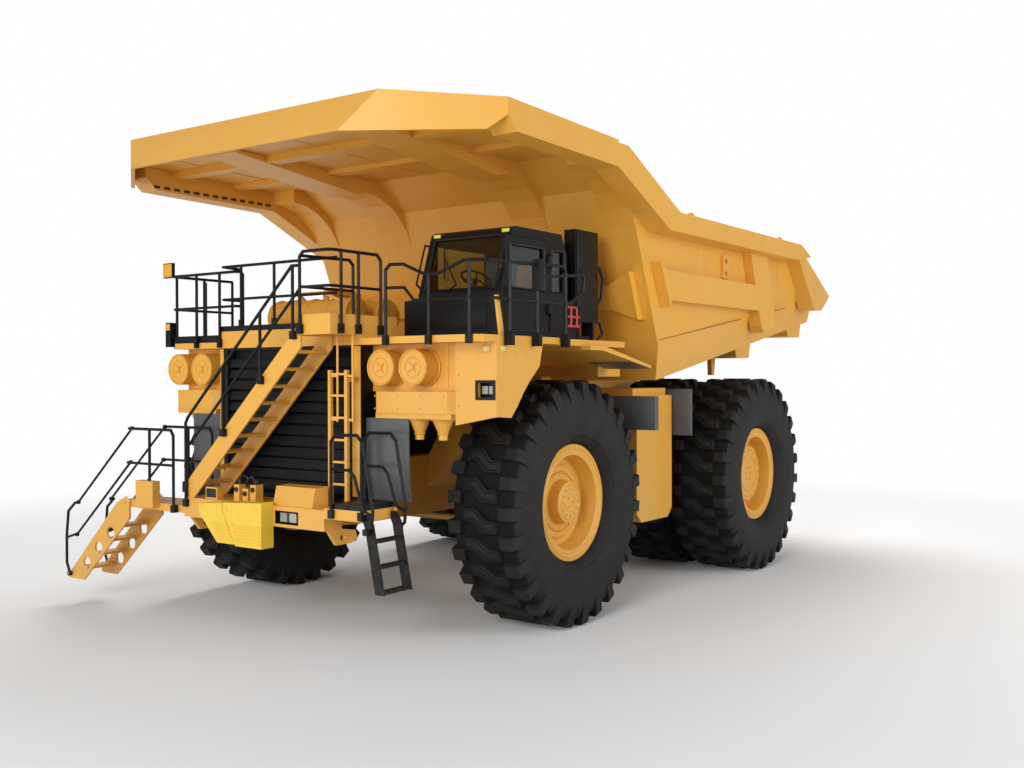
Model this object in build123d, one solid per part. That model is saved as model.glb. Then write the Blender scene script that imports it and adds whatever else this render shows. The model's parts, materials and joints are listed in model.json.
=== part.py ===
from build123d import *
import math
import os

# Mining dump truck, millimetres. +X is the machine's left (the cab side), the front faces -Y, +Z is up.
# The pieces are drawn about the centre plane x = 0, with the front axle over y = 0 and the ground at z = 0.
# When they are written, all of them move by the same step, so that the origin is under the middle of the box.

# ---------------------------------------------------------------- driving dimensions
TYRE_R = 1790                 # outer radius over the lugs
TYRE_HALF_W = 575             # half the tyre's width
RIM_HALF_W = 385              # half the rim's width over its flanges
BEAD_R = 730                  # bore of the tyre
FLANGE_R = 850                # rim flange
LUGS = 27                     # tread lugs on each side of a tyre
LUG_H = 95                    # height of a lug over the tread base

WHEELBASE = 5905
FRONT_X = 2840                # centre plane of a front tyre
REAR_X = (1763, 3200)         # centre planes of the inner and outer rear tyres
KING_X = 1900                 # steering axis, which is also the front strut's axis
SPINDLE_R = 200               # bearing journal of a front spindle
AXLE_R = 300                  # bearing journal of the rear axle tube
RUN = 0.3                     # radial running clearance of bearings, pins and rods
GAP = 6.0                     # clearance between pieces that move past each other
SEAT = 0.3                    # gap under a piece that rests on another body

RAIL_X = (450, 750)           # inner and outer faces of the frame rails
RAIL_BOTTOM = 1500
BUMPER_Y = (-3230, -2900)     # front and back of the bumper
BUMPER_Z = (1600, 1880)
LAMP_X = (490, 940)           # recess of the bumper's lamps
LAMP_Z = (1640, 1820)

DECK_Z = 4150                 # walking level of the side decks
DECK_T = 90
DECK_FRONT_Y = -2600
DECK_HALF = 3650
DECK_REAR_Y = 1150
GRILLE_Y = (-2540, -2000)     # front and back of the radiator's surround
GRILLE_HALF = 1440
BUMPER_HALF = GRILLE_HALF - 20
POST_W = 160                  # width of the surround's posts and beams
SLAT_PITCH = 160

CAB_X = (DECK_HALF - 2150, DECK_HALF - 700)
CAB_Y = (-1400, 300)
CAB_Z = (4800, 5720)          # foot of the windscreen, and the roof
CAB_WALL = 60

BED_PIVOT = (7100, 3100)      # (y, z) of the bed's hinge
BED_SKIN_X = 3420             # outer face of the side walls
BED_IN_X = 3250               # inner face of the side walls
BED_RIB_X = 3600              # outer face of the ribs
CANOPY_X = 3810               # outer face of the rails, and half width of the canopy
FLOOR_SLOPE = 0.172
FLOOR_REF = (3300, 3690)      # a point (y, z) on the underside of the floor
FLOOR_T = 220
TAIL_Y = 9700
CREASE_REF = (2300, 4130)     # where the side wall turns in towards the floor
CREASE_SLOPE = 0.21
FLANK_RATIO = 0.27            # how far the flank leans in, per unit of height
WALL_FOOT = (2480, 3690)      # lower end of the front wall's outer line
BEND_R = 1300                 # bend from the front wall to the canopy
BEND_C = (350, 5480)
BEND_DEPTH = 220              # from the top of the bend to the canopy's plate
PLATE_T = 50
LIP_BOTTOM = ((2080, -3640, 6680), (3590, -2560, 6700))     # corners of the lip's foot: x, y, z
LIP_TOP = ((2500, -3340, 7200), (CANOPY_X, -2490, 7100))
LIP_T = 60
SIDE_RAIL_Z = (5920, 6240)    # the side rail's foot and top
SIDE_RAIL_Y = (2330, 7700)    # its level stretch

HOIST_X = 1150
HOIST_FOOT = (WHEELBASE - 2305, 1450)     # (y, z) of the pin on the frame
HOIST_HEAD = (WHEELBASE - 2105, 3480)     # (y, z) of the rod's eye under the bed

STAIR_Y = (-3200, -2600)      # planes of the stairs' side plates
STAIR_T = 30
STAIR_HINGE = (-2870, 1700)   # (x, z) of the folding stair's hinge
LINK = (1410, 1220)           # (x, z) run of the folding stair and of its hand rails, from the lower pivots to the upper
RAIL_PIVOT = (-2700, 2850)    # (x, z) of the top rail's upper pivot
MID_PIVOT = (-2740, 2330)
RAIL_R = 22
LANDING_Z = 1750
STAIR_RUN = 0.95              # rise of the diagonal stair for each unit along


# ---------------------------------------------------------------- small helpers
def box(x0, x1, y0, y1, z0, z1):
    return Solid.make_box(x1 - x0, y1 - y0, z1 - z0).move(Location((x0, y0, z0)))


def prism_x(points, x0, x1):
    """A polygon of (y, z) points, extruded from x0 to x1."""
    face = Face(Wire.make_polygon([(x0, y, z) for y, z in points], close=True))
    return Solid.extrude(face, Vector(x1 - x0, 0, 0))


def prism_y(points, y0, y1):
    """A polygon of (x, z) points, extruded from y0 to y1."""
    face = Face(Wire.make_polygon([(x, y0, z) for x, z in points], close=True))
    return Solid.extrude(face, Vector(0, y1 - y0, 0))


def prism_z(points, z0, z1):
    """A polygon of (x, y) points, extruded from z0 to z1."""
    face = Face(Wire.make_polygon([(x, y, z0) for x, y in points], close=True))
    return Solid.extrude(face, Vector(0, 0, z1 - z0))


def rod(p, q, r):
    """A round bar from p to q."""
    p, q = Vector(p), Vector(q)
    return Solid.make_cylinder(r, (q - p).length, Plane(origin=p, z_dir=q - p))


def tube(points, r=24, sides=8):
    """A rail along a run of points, with as many flats round it as sides says."""
    path = Polyline(*points)
    start = Plane(origin=path @ 0, z_dir=path % 0)
    return sweep(start * RegularPolygon(r, sides), path=path, transition=Transition.RIGHT)


def solids_of(*groups):
    """Flattens shapes and lists of shapes."""
    flat_list = []
    for group in groups:
        flat_list += solids_of(*group) if isinstance(group, (list, tuple)) else [group]
    return flat_list


def fuse(*shapes):
    shapes = solids_of(*shapes)
    return shapes[0].fuse(*shapes[1:]) if len(shapes) > 1 else shapes[0]


def cut(shape, *tools):
    return shape.cut(*solids_of(*tools))


def mirrored(shape):
    return mirror(shape, about=Plane.YZ)


def spin_x(points, x0=0.0):
    """A closed outline of (x, radius) points, turned about the X axis."""
    face = Face(Wire.make_polygon([(x0 + x, 0, r) for x, r in points], close=True))
    return Solid.revolve(face, 360, Axis.X)


def floor_z(y):
    """Height of the underside of the bed's floor."""
    return FLOOR_REF[1] + FLOOR_SLOPE * (y - FLOOR_REF[0])


def crease_z(y):
    return CREASE_REF[1] + CREASE_SLOPE * (y - CREASE_REF[0])


NODES = {}


def node(name, *shapes):
    """Keeps one named piece: its shapes are fused, and solids that don't touch stay apart. A second call adds to it."""
    kept = [NODES[name]] if name in NODES else []
    NODES[name] = fuse(*kept, *shapes)


# ---------------------------------------------------------------- wheels
def closed(faces):
    """A solid from the flat faces that bound it."""
    return Solid(Shell(faces))


def flat(points):
    return Face(Wire.make_polygon(points, close=True))


def block(foot, top):
    """A block between two outlines with as many corners."""
    n = len(foot)
    sides = [flat((foot[i], foot[(i + 1) % n], top[(i + 1) % n], top[i])) for i in range(n)]
    return closed([flat(foot), flat(top)] + sides)


def faceted_ring(profile, n):
    """A closed profile of (x, radius) points carried round the X axis in n flats."""
    def at(k, i):
        x, r = profile[k % len(profile)]
        a = math.tau * i / n
        return (x, r * math.cos(a), r * math.sin(a))
    return closed([flat((at(k, i), at(k + 1, i), at(k + 1, i + 1), at(k, i + 1)))
                   for k in range(len(profile)) for i in range(n)])


def tyre(x_centre, hand=1, lug_lean=75):
    """A tyre about the X axis: a faceted case, and one Z-shaped lug across each flat of its tread.
    Hand 1 has its full sidewall on +X; with no lean the lugs run straight across and both sides are plain."""
    base = TYRE_R - LUG_H
    bead = BEAD_R / math.cos(math.pi / LUGS)
    edge, inset = TYRE_HALF_W - 50, 8
    plain = [(RIM_HALF_W - 85, bead), (edge, base)]
    full = [(RIM_HALF_W - 85, bead), (TYRE_HALF_W, 1330), (edge, base)]
    outer, inner = (full if lug_lean else plain), plain
    profile = [(-w, r) for w, r in inner] + [(w, r) for w, r in reversed(outer)]
    case = faceted_ring([(hand * x, r) for x, r in profile], LUGS)
    pitch = TYRE_R * math.tau / LUGS
    waist = 60
    rings = []
    for w, r in ((0.235 * pitch, base - 20), (0.19 * pitch, TYRE_R * math.cos(math.pi / LUGS) + 2)):
        knee = [(waist, lug_lean + w), (-waist, w - lug_lean)] if lug_lean else []
        run = [(edge - inset, -w), (edge - inset, w)] + knee
        rings.append([(x, hand * t, r) for x, t in run + [(-x, -t) for x, t in run]])
    lug = block(*rings)
    lugs = [lug.rotate(Axis.X, 360 * (i + 0.5) / LUGS - 90) for i in range(LUGS)]
    return case.fuse(*lugs).moved(Location((x_centre, 0, TYRE_R)))


def front_rim(x_centre):
    """Rim, disc and hub of a front wheel, turned about its axis; u is measured outwards from the tyre's centre."""
    bore = SPINDLE_R + RUN
    outline = [
        (-RIM_HALF_W, FLANGE_R), (-RIM_HALF_W + 22, FLANGE_R), (-RIM_HALF_W + 40, BEAD_R - SEAT),
        (RIM_HALF_W - 40, BEAD_R - SEAT), (RIM_HALF_W - 22, FLANGE_R), (RIM_HALF_W, FLANGE_R),
        (RIM_HALF_W + 5, 800), (RIM_HALF_W - 15, 690), (130, 640), (110, 560), (150, 520), (170, 330),
        (330, 300), (345, 250), (345, 0), (290, 0), (290, bore), (-120, bore), (-120, 520), (20, 560),
        (20, 640), (-RIM_HALF_W, 670)]
    wheel = spin_x(outline)
    return wheel.moved(Location((x_centre, 0, TYRE_R)))


def rear_rims():
    """The two rims of a rear pair on one hub, with the round cover of the final drive."""
    xi, xo = REAR_X
    bore = AXLE_R + RUN
    outline = [
        (xi - RIM_HALF_W, FLANGE_R), (xi - RIM_HALF_W + 22, FLANGE_R), (xi - RIM_HALF_W + 40, BEAD_R - SEAT),
        (xi + RIM_HALF_W - 40, BEAD_R - SEAT), (xi + RIM_HALF_W - 22, FLANGE_R), (xi + RIM_HALF_W, FLANGE_R),
        (xi + RIM_HALF_W, BEAD_R - 30), (xo - RIM_HALF_W, BEAD_R - 30),
        (xo - RIM_HALF_W, FLANGE_R), (xo - RIM_HALF_W + 22, FLANGE_R), (xo - RIM_HALF_W + 40, BEAD_R - SEAT),
        (xo + RIM_HALF_W - 40, BEAD_R - SEAT), (xo + RIM_HALF_W - 22, FLANGE_R), (xo + RIM_HALF_W, FLANGE_R),
        (xo + RIM_HALF_W + 5, 800), (xo + RIM_HALF_W - 15, 690), (xo + 110, 650), (xo + 110, 540),
        (xo + 225, 510), (xo + 235, 0), (xo + 160, 0), (xo + 160, bore), (xo - 500, bore), (xo - 500, 560),
        (xi - 60, 600), (xi - RIM_HALF_W, 660)]
    return spin_x(outline).moved(Location((0, WHEELBASE, TYRE_R)))


def build_wheels():
    front, rear = tyre(FRONT_X), tyre(REAR_X[1]).moved(Location((0, WHEELBASE, 0)))
    inner = tyre(REAR_X[0], lug_lean=0).moved(Location((0, WHEELBASE, 0)))
    left = {"tyre_front": [front], "tyre_rear_pair": [rear, inner],
            "rim_front": [front_rim(FRONT_X)], "rim_rear_pair": [rear_rims()]}
    for name, shapes in left.items():
        node(name + "_left", *shapes)
        node(name + "_right", *[mirrored(s) for s in shapes])


# ---------------------------------------------------------------- frame, axle, steering
KNUCKLE_Z = (1330, 2080)      # the turning column under the strut's barrel
STRUT_R = 250
ARM_Y = 600                   # steering arm's pin, behind the steering axis
ARM_Z = (1380, 1450)
TIE_Z = (1260, 1370)
PIVOT_R = 110
HOIST_PIN_R = 80
EYE_HALF = 100                # half width of the hoist's eyes
BARREL_R = 185
ENGINE_SEAT = 2400            # top of the rails under the engine
REAR_STRUT_TOP = (WHEELBASE + 700, 2600)
BALL_SEAT_Y = 3820            # where the ball of the rear axle's A-frame bears on the frame


def frame_top(y):
    """Upper face of the frame rails: under the bed's beams it runs parallel with the floor."""
    return floor_z(y) - 700


def build_frame():
    x0, x1 = RAIL_X
    pivot_y, pivot_z = BED_PIVOT
    rail = [(BUMPER_Y[1], BUMPER_Z[0] - 40), (BUMPER_Y[1], BUMPER_Z[1] - 60), (GRILLE_Y[0] - 20, BUMPER_Z[1] - 60),
            (GRILLE_Y[0] - 20, BUMPER_Z[1]), (GRILLE_Y[1], BUMPER_Z[1]), (-1500, ENGINE_SEAT), (1000, ENGINE_SEAT),
            (3000, frame_top(3000)), (6500, frame_top(6500)), (pivot_y + 260, pivot_z + 170),
            (pivot_y + 260, pivot_z - 260), (6600, 2560), (4700, 2480), (4100, RAIL_BOTTOM + 160),
            (3200, RAIL_BOTTOM), (-1900, RAIL_BOTTOM)]
    rails = [prism_x(rail, s * x0, s * x1) for s in (1, -1)]
    # y, half depth, z and half height of each cross tube between the rails
    crosses = [box(-x0, x0, y - dy, y + dy, z - dz, z + dz) for y, dy, z, dz in
               ((-2200, 130, 1690, 170), (3550, 200, 2000, 260), (6150, 160, 2900, 200))]
    # the horns reach over the tyres' inner sides to the struts' clamps
    horn = [(x1, 1900), (x1, ENGINE_SEAT - 20), (1350, 3350), (KING_X + 120, 3350), (KING_X + 120, 2700), (1600, 2700)]
    horns = [prism_y([(s * x, z) for x, z in horn], -300, 300) for s in (1, -1)]
    clamps = [rod((s * KING_X, 0, 2650), (s * KING_X, 0, 3400), STRUT_R + 90) for s in (1, -1)]
    sockets = [rod((s * KING_X, 0, 2600), (s * KING_X, 0, 3500), STRUT_R) for s in (1, -1)]
    # hoist foot: an ear below the rail, with the pin that the barrel's eye turns on
    foot_y, foot_z = HOIST_FOOT
    ears = [prism_x([(foot_y - 300, RAIL_BOTTOM + 300), (foot_y - 180, foot_z - 150), (foot_y + 180, foot_z - 150),
                     (foot_y + 300, RAIL_BOTTOM + 300)], s * (x1 - 200), s * (HOIST_X - BARREL_R - 20)) for s in (1, -1)]
    pins = [rod((s * (HOIST_X - BARREL_R - 20), foot_y, foot_z), (s * (HOIST_X + EYE_HALF + 40), foot_y, foot_z),
                HOIST_PIN_R) for s in (1, -1)]
    # outriggers that carry the beams behind the decks
    out = [(x1, 2150), (x1, 2480), (1450, 3620), (1650, 3620), (1650, 3200)]
    arms = [prism_y([(s * x, z) for x, z in out], 1550, 1850) for s in (1, -1)]
    # the ball seat of the axle's A-frame
    seat = box(-330, 330, 3740, BALL_SEAT_Y, TYRE_R - 150, 2000)
    frame = fuse(rails, horns, clamps, ears, arms)
    bores = [rod((s * x1 * 1.1, pivot_y, pivot_z), (s * x0 * 0.9, pivot_y, pivot_z), PIVOT_R + RUN) for s in (1, -1)]
    node("main_frame", cut(frame, *sockets, *bores))
    node("frame_members", crosses, seat, pins)

    # front struts: barrels clamped in the frame's horns
    struts = []
    for s in (1, -1):
        barrel = fuse(rod((s * KING_X, 0, 2100), (s * KING_X, 0, 3500), STRUT_R),
                      rod((s * KING_X, 0, 3500), (s * KING_X, 0, 3620), 150))
        struts.append(cut(barrel, rod((s * KING_X, 0, 2000), (s * KING_X, 0, 2900), 190 + RUN)))
    node("suspension_struts", *struts)


def build_knuckle():
    column = rod((KING_X, 0, KNUCKLE_Z[0]), (KING_X, 0, 2880), 190)
    hub = rod((KING_X, 0, KNUCKLE_Z[0]), (KING_X, 0, KNUCKLE_Z[1]), 260)
    spindle = [rod((KING_X, 0, TYRE_R), (FRONT_X - 135, 0, TYRE_R), 300),
               rod((FRONT_X - 135, 0, TYRE_R), (FRONT_X + 285, 0, TYRE_R), SPINDLE_R)]
    arm = prism_z([(KING_X - 160, 100), (KING_X - 100, ARM_Y), (KING_X + 100, ARM_Y), (KING_X + 160, 100)], *ARM_Z)
    arm_end = rod((KING_X, ARM_Y, ARM_Z[0]), (KING_X, ARM_Y, ARM_Z[1]), 110)
    knuckle = fuse(column, hub, spindle, arm, arm_end)
    knuckle = cut(knuckle, rod((KING_X, ARM_Y, ARM_Z[0] - 10), (KING_X, ARM_Y, ARM_Z[1] + 10), 45 + RUN))
    node("knuckle_left", knuckle)
    node("knuckle_right", mirrored(knuckle))
    ends = [rod((s * KING_X, ARM_Y, TIE_Z[0]), (s * KING_X, ARM_Y, TIE_Z[1]), 95) for s in (1, -1)]
    pins = [rod((s * KING_X, ARM_Y, TIE_Z[1]), (s * KING_X, ARM_Y, ARM_Z[1] + 20), r) for s, r in ((1, 45), (-1, 43))]
    mid = (TIE_Z[0] + TIE_Z[1]) / 2
    bar = rod((-KING_X, ARM_Y, mid), (KING_X, ARM_Y, mid), 50)
    node("tie_rod", fuse(ends, pins, [bar]))


def build_rear_axle():
    end = REAR_X[1] + 155
    outline = [(-end, 0), (-end, AXLE_R), (-1050, AXLE_R), (-1050, 420), (-420, 640), (420, 640), (1050, 420),
               (1050, AXLE_R), (end, AXLE_R), (end, 0)]
    housing = spin_x(outline).moved(Location((0, WHEELBASE, TYRE_R)))
    arm = prism_z([(-420, WHEELBASE - 300), (-150, 4000), (150, 4000), (420, WHEELBASE - 300)], TYRE_R - 150,
                  TYRE_R + 130)
    ball_y = BALL_SEAT_Y + 150 + SEAT
    ball = rod((-300, ball_y, TYRE_R - 10), (300, ball_y, TYRE_R - 10), 150)
    strut_y, strut_z = REAR_STRUT_TOP
    lugs = [box(min(s * 430, s * 770), max(s * 430, s * 770), WHEELBASE + 250, strut_y + 170, TYRE_R - 120,
                TYRE_R + 130) for s in (1, -1)]
    node("rear_axle_housing", fuse(housing, arm, ball, lugs))
    x = sum(RAIL_X) / 2
    struts = [fuse(rod((s * x, strut_y, TYRE_R + 130), (s * x, strut_y, TYRE_R + 500), 100),
                   rod((s * x, strut_y, TYRE_R + 380), (s * x, strut_y, strut_z), 140)) for s in (1, -1)]
    node("suspension_struts", *[cut(t, NODES["main_frame"], NODES["frame_members"]) for t in struts])


# ---------------------------------------------------------------- hoist
def along(p, q, d):
    """A point d from p towards q."""
    n = math.dist(p, q)
    return tuple(a + (b - a) * d / n for a, b in zip(p, q))


def build_hoist():
    foot = (HOIST_X, *HOIST_FOOT)
    head = (HOIST_X, *HOIST_HEAD)
    length = math.dist(foot, head)
    # each stage slides in the one before it: its radius, and where it starts and ends from the foot
    barrel = fuse(rod(along(foot, head, 100), along(foot, head, length - 330), BARREL_R),
                  rod((HOIST_X - EYE_HALF, *HOIST_FOOT), (HOIST_X + EYE_HALF, *HOIST_FOOT), 150))
    barrel = cut(barrel, rod((HOIST_X - 200, *HOIST_FOOT), (HOIST_X + 200, *HOIST_FOOT), HOIST_PIN_R + RUN),
                 rod(along(foot, head, 190), along(foot, head, length), 140 + RUN))
    stage = cut(rod(along(foot, head, 200), along(foot, head, length - 280), 140),
                rod(along(foot, head, 230), along(foot, head, length), 100 + RUN))
    bar = fuse(rod(along(foot, head, 240), along(foot, head, length - 85), 100),
               rod((HOIST_X - EYE_HALF, *HOIST_HEAD), (HOIST_X + EYE_HALF, *HOIST_HEAD), 130))
    for name, shape in (("hoist_barrel", barrel), ("hoist_stage", stage), ("hoist_rod", bar)):
        node(name + "_left", shape)
        node(name + "_right", mirrored(shape))


# ---------------------------------------------------------------- dump bed
def meet(p, q, r, t):
    """Where the line through p and q crosses the line through r and t."""
    a, b = (q[0] - p[0], q[1] - p[1]), (t[0] - r[0], t[1] - r[1])
    k = ((r[0] - p[0]) * b[1] - (r[1] - p[1]) * b[0]) / (a[0] * b[1] - a[1] * b[0])
    return (p[0] + k * a[0], p[1] + k * a[1])


# the front wall's outer line rises from its foot, tangent to the bend
_DY, _DZ = BEND_C[0] - WALL_FOOT[0], BEND_C[1] - WALL_FOOT[1]
WALL_LEAN = math.atan2(-_DZ, -_DY) + math.acos(BEND_R / math.hypot(_DY, _DZ))     # angle of its normal from +y
BEND_TOP = (BEND_C[0], BEND_C[1] + BEND_R)
CANOPY_FOOT_Z = BEND_TOP[1] + BEND_DEPTH                                           # underside of the canopy's plate


def wall(z, inwards=0.0):
    """The point (y, z) of the front wall's outer line at a height, or of a line further in."""
    n, u = (math.cos(WALL_LEAN), math.sin(WALL_LEAN)), (-math.sin(WALL_LEAN), math.cos(WALL_LEAN))
    t = (z - WALL_FOOT[1] - inwards * n[1]) / u[1]
    return (WALL_FOOT[0] + t * u[0] + inwards * n[0], z)


def tail_line(y):
    """Height of the sloping rear edge of the side walls."""
    (y0, z0), (y1, z1) = (8250, 6040), (TAIL_Y, 5300)
    return z0 + (y - y0) * (z1 - z0) / (y1 - y0)


def tray(y, x_crease, thickness):
    """Cross-section of the floor with its flanks, seen along the bed: bottom corners, then the creases."""
    z_top, z_low = crease_z(y), floor_z(y) + thickness
    x_low = x_crease - FLANK_RATIO * (z_top - z_low)
    return [(x_low, y, z_low), (-x_low, y, z_low), (-x_crease, y, z_top), (x_crease, y, z_top)]


def build_bed_floor():
    # the floor plate and the two flanks, which meet along its edges
    front = WALL_FOOT[0] - 400
    (o0, i0), (o1, i1) = [(tray(y, BED_SKIN_X, 0), tray(y, BED_IN_X, FLOOR_T)) for y in (front, TAIL_Y)]
    plate = block([o0[0], o0[1], i0[1], i0[0]], [o1[0], o1[1], i1[1], i1[0]])
    flanks = [block([o0[a], i0[a], i0[b], o0[b]], [o1[a], i1[a], i1[b], o1[b]]) for a, b in ((0, 3), (1, 2))]
    wide = (-2 * CANOPY_X, 2 * CANOPY_X)
    ahead = prism_x([wall(2500), wall(5500), (front - 800, 5500), (front - 800, 2500)], *wide)
    behind = prism_x([(8000, tail_line(8000)), (TAIL_Y, tail_line(TAIL_Y)), (TAIL_Y + 500, tail_line(TAIL_Y)),
                      (TAIL_Y + 500, 7000), (8000, 7000)], *wide)
    node("bed_floor", cut(plate, ahead))
    node("bed_flanks", *[cut(flank, ahead, behind) for flank in flanks])

    # two beams that rest on the frame rails, with their pivot ears
    x_in, x_out = RAIL_X[0] - GAP - 100, RAIL_X[1] + GAP + 100
    (py, pz), (hy, hz) = BED_PIVOT, HOIST_HEAD
    rest = 700 - SEAT
    beams = []
    for s in (1, -1):
        y0, y1, y2 = WALL_FOOT[0] + 320, 7900, TAIL_Y - 120
        beam = prism_x([(y0, floor_z(y0)), (y2, floor_z(y2)), (y2, floor_z(y2) - 250),
                        (y1, floor_z(y1) - rest), (y0, floor_z(y0) - rest)], s * x_in, s * x_out)
        ear = [(py - 330, floor_z(py - 330) - rest + 50), (py + 420, floor_z(py + 420) - rest + 50), (py + 240, pz - 60),
               (py + 120, pz - 220), (py - 120, pz - 220), (py - 240, pz - 60)]
        ears = [prism_x(ear, s * x, s * (x + 100)) for x in (x_in, x_out - 100)]
        beams.append(fuse(beam, ears, rod((s * x_in, py, pz), (s * x_out, py, pz), PIVOT_R)))

    # bolsters across the underside, between and outside the beams: y of the middle, half width, depth
    bolsters = [prism_x([(y - h, floor_z(y - h)), (y - h + 90, floor_z(y) - d), (y + h - 90, floor_z(y) - d),
                         (y + h, floor_z(y + h))], -BED_SKIN_X + 330, BED_SKIN_X - 330)
                for y, h, d in ((WHEELBASE + 545, 380, 260), (TAIL_Y - 550, 420, 240))]
    node("bed_bolsters", *[cut(bolster, *beams) for bolster in bolsters])

    # lugs beside the eyes of the hoists' rods, and rock ejectors that hang between the rear tyres
    lug = [(hy - 280, floor_z(hy - 280)), (hy + 280, floor_z(hy + 280)), (hy + 140, hz - 90), (hy - 140, hz - 90)]
    lugs = [prism_x(lug, s * x - 30, s * x + 30) for s in (1, -1)
            for x in (HOIST_X - EYE_HALF - GAP - 30, HOIST_X + EYE_HALF + GAP + 30)]
    mid, y = (REAR_X[0] + REAR_X[1]) / 2, WHEELBASE + 400
    ejector = [(y - 90, floor_z(y - 90)), (y + 160, floor_z(y + 160)), (y + 60, 3640), (y - 40, 3640)]
    ejectors = [cut(prism_x(ejector, s * mid - 45, s * mid + 45), *bolsters) for s in (1, -1)]
    node("bed_beams", *beams, lugs, ejectors)


def build_bed_walls():
    r_foot, r_top = SIDE_RAIL_Z
    r_y0, r_y1 = SIDE_RAIL_Y
    tail_top = (8250, tail_line(8250))
    canopy_end = (650, CANOPY_FOOT_Z + 10)             # where the canopy's edge starts to slope down to the side rail
    # side wall: from the bend down the front wall's line to the crease, and back to the tail
    bend = [(BEND_C[0] + BEND_R * math.cos(a), BEND_C[1] + BEND_R * math.sin(a))
            for a in (WALL_LEAN + (math.pi / 2 - WALL_LEAN) * i / 5 for i in range(6))]
    crease = ((0, crease_z(0)), (1000, crease_z(1000)))
    front_low = meet(wall(3800), wall(4600), *crease)
    rear_low = meet((0, tail_line(0)), (1000, tail_line(1000)), *crease)
    outline = ([front_low] + bend + [(BEND_TOP[0], CANOPY_FOOT_Z), canopy_end, (r_y0, r_top), (r_y1, r_top), tail_top,
               rear_low])
    skin = prism_x(outline, BED_IN_X, BED_SKIN_X)
    # box rails along the top edge: sloping from the canopy, level, then down at the tail
    rail = [(BEND_TOP[0], 6660), (BEND_TOP[0], CANOPY_FOOT_Z + 10), canopy_end, (r_y0, r_top), (r_y1, r_top), tail_top,
            (8000, r_foot + 70), (r_y1 - 200, r_foot), (r_y0 - 350, r_foot)]
    # ribs: the long one with its flared front, the upright one, and the tail's
    long_rib = [(2050, 5450), (2280, 5330), (6300, 5330), (6300, 4850), (2450, 4850), (2400, 4740)]
    upright = [(5650, r_foot), (6430, r_foot), (6850, 4640), (6780, 4560), (6250, 4450), (6150, 4560)]
    tail_rib = [(7850, 5985), tail_top, (9650, tail_line(9650)), (9150, 5000), (8750, 5000), (8300, 5460)]
    ribs = [prism_x(long_rib, BED_SKIN_X, BED_RIB_X), prism_x(upright, BED_SKIN_X - 60, BED_RIB_X),
            prism_x(tail_rib, BED_SKIN_X - 60, BED_RIB_X + 100)]
    # plate with the two lifting eyes
    eye = prism_x([(4700, 5380), (4950, 5380), (4950, 5780), (4700, 5780)], BED_SKIN_X, BED_SKIN_X + 60)
    eye = cut(eye, *[rod((BED_SKIN_X - 10, 4825, z), (BED_SKIN_X + 80, 4825, z), 50) for z in (5470, 5690)])
    # lifting lugs on the rail's top
    lugs = [prism_x([(y - 90, r_top), (y + 90, r_top), (y + 45, r_top + 95), (y - 45, r_top + 95)], BED_RIB_X,
                    BED_RIB_X + 50) for y in (3100, 7000)]
    side = fuse(skin, prism_x(rail, BED_SKIN_X, CANOPY_X), ribs, eye, lugs)
    side = cut(side, NODES["bed_floor"], NODES["bed_flanks"])
    node("bed_wall_left", side)
    node("bed_wall_right", mirrored(side))
    return bend


def build_bed_front(bend):
    # front wall plate: up from the floor, then forward to the canopy
    corner = wall(CANOPY_FOOT_Z - 450)
    crown = (corner[0] - 700, CANOPY_FOOT_Z)
    deep = 46                                           # the plate's step at its two gentle folds
    plate = prism_x([wall(3700), corner, crown, (BEND_TOP[0], CANOPY_FOOT_Z), (BEND_TOP[0], CANOPY_FOOT_Z + PLATE_T),
                     (crown[0] + 20, CANOPY_FOOT_Z + PLATE_T), (corner[0] + deep, corner[1] + 24), wall(3700, PLATE_T)]
                    if crown[0] > BEND_TOP[0] else
                    [wall(3700), corner, crown, (crown[0] + 20, CANOPY_FOOT_Z + PLATE_T),
                     (corner[0] + deep, corner[1] + 24), wall(3700, PLATE_T)], -BED_IN_X, BED_IN_X)
    # gussets that carry the bend, at the sides and under the canopy's two beams
    gusset = bend + [(BEND_TOP[0], CANOPY_FOOT_Z), crown, corner]
    gussets = [prism_x(gusset, s * (BED_IN_X - 350), s * BED_IN_X) for s in (1, -1)]
    gussets += [prism_x(gusset, s * BEAM_X[0], s * BEAM_X[1]) for s in (1, -1)]
    # the cross rib of the front wall, flared at both ends; it stands out towards the cab
    xs, x_flare = BED_IN_X, BED_IN_X - 450
    rib = [(-xs, 4530), (-x_flare, 4700), (x_flare, 4700), (xs, 4530), (xs, 5280), (x_flare, 5070), (-x_flare, 5070),
           (-xs, 5280)]
    back = [(x, *wall(z, 1)) for x, z in rib]
    cross = Solid.extrude(flat(back), Vector(0, -200, 0))
    wall_node = fuse(plate, gussets, cross)
    wall_node = cut(wall_node, *[NODES[k] for k in ("bed_floor", "bed_flanks", "bed_wall_left", "bed_wall_right")])
    keep = [piece for piece in wall_node.solids() if piece.bounding_box().max.Z > 5000]
    node("bed_front_wall", *keep)


BEAM_X = (1150, 1800)         # the canopy's lengthwise beams


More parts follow.
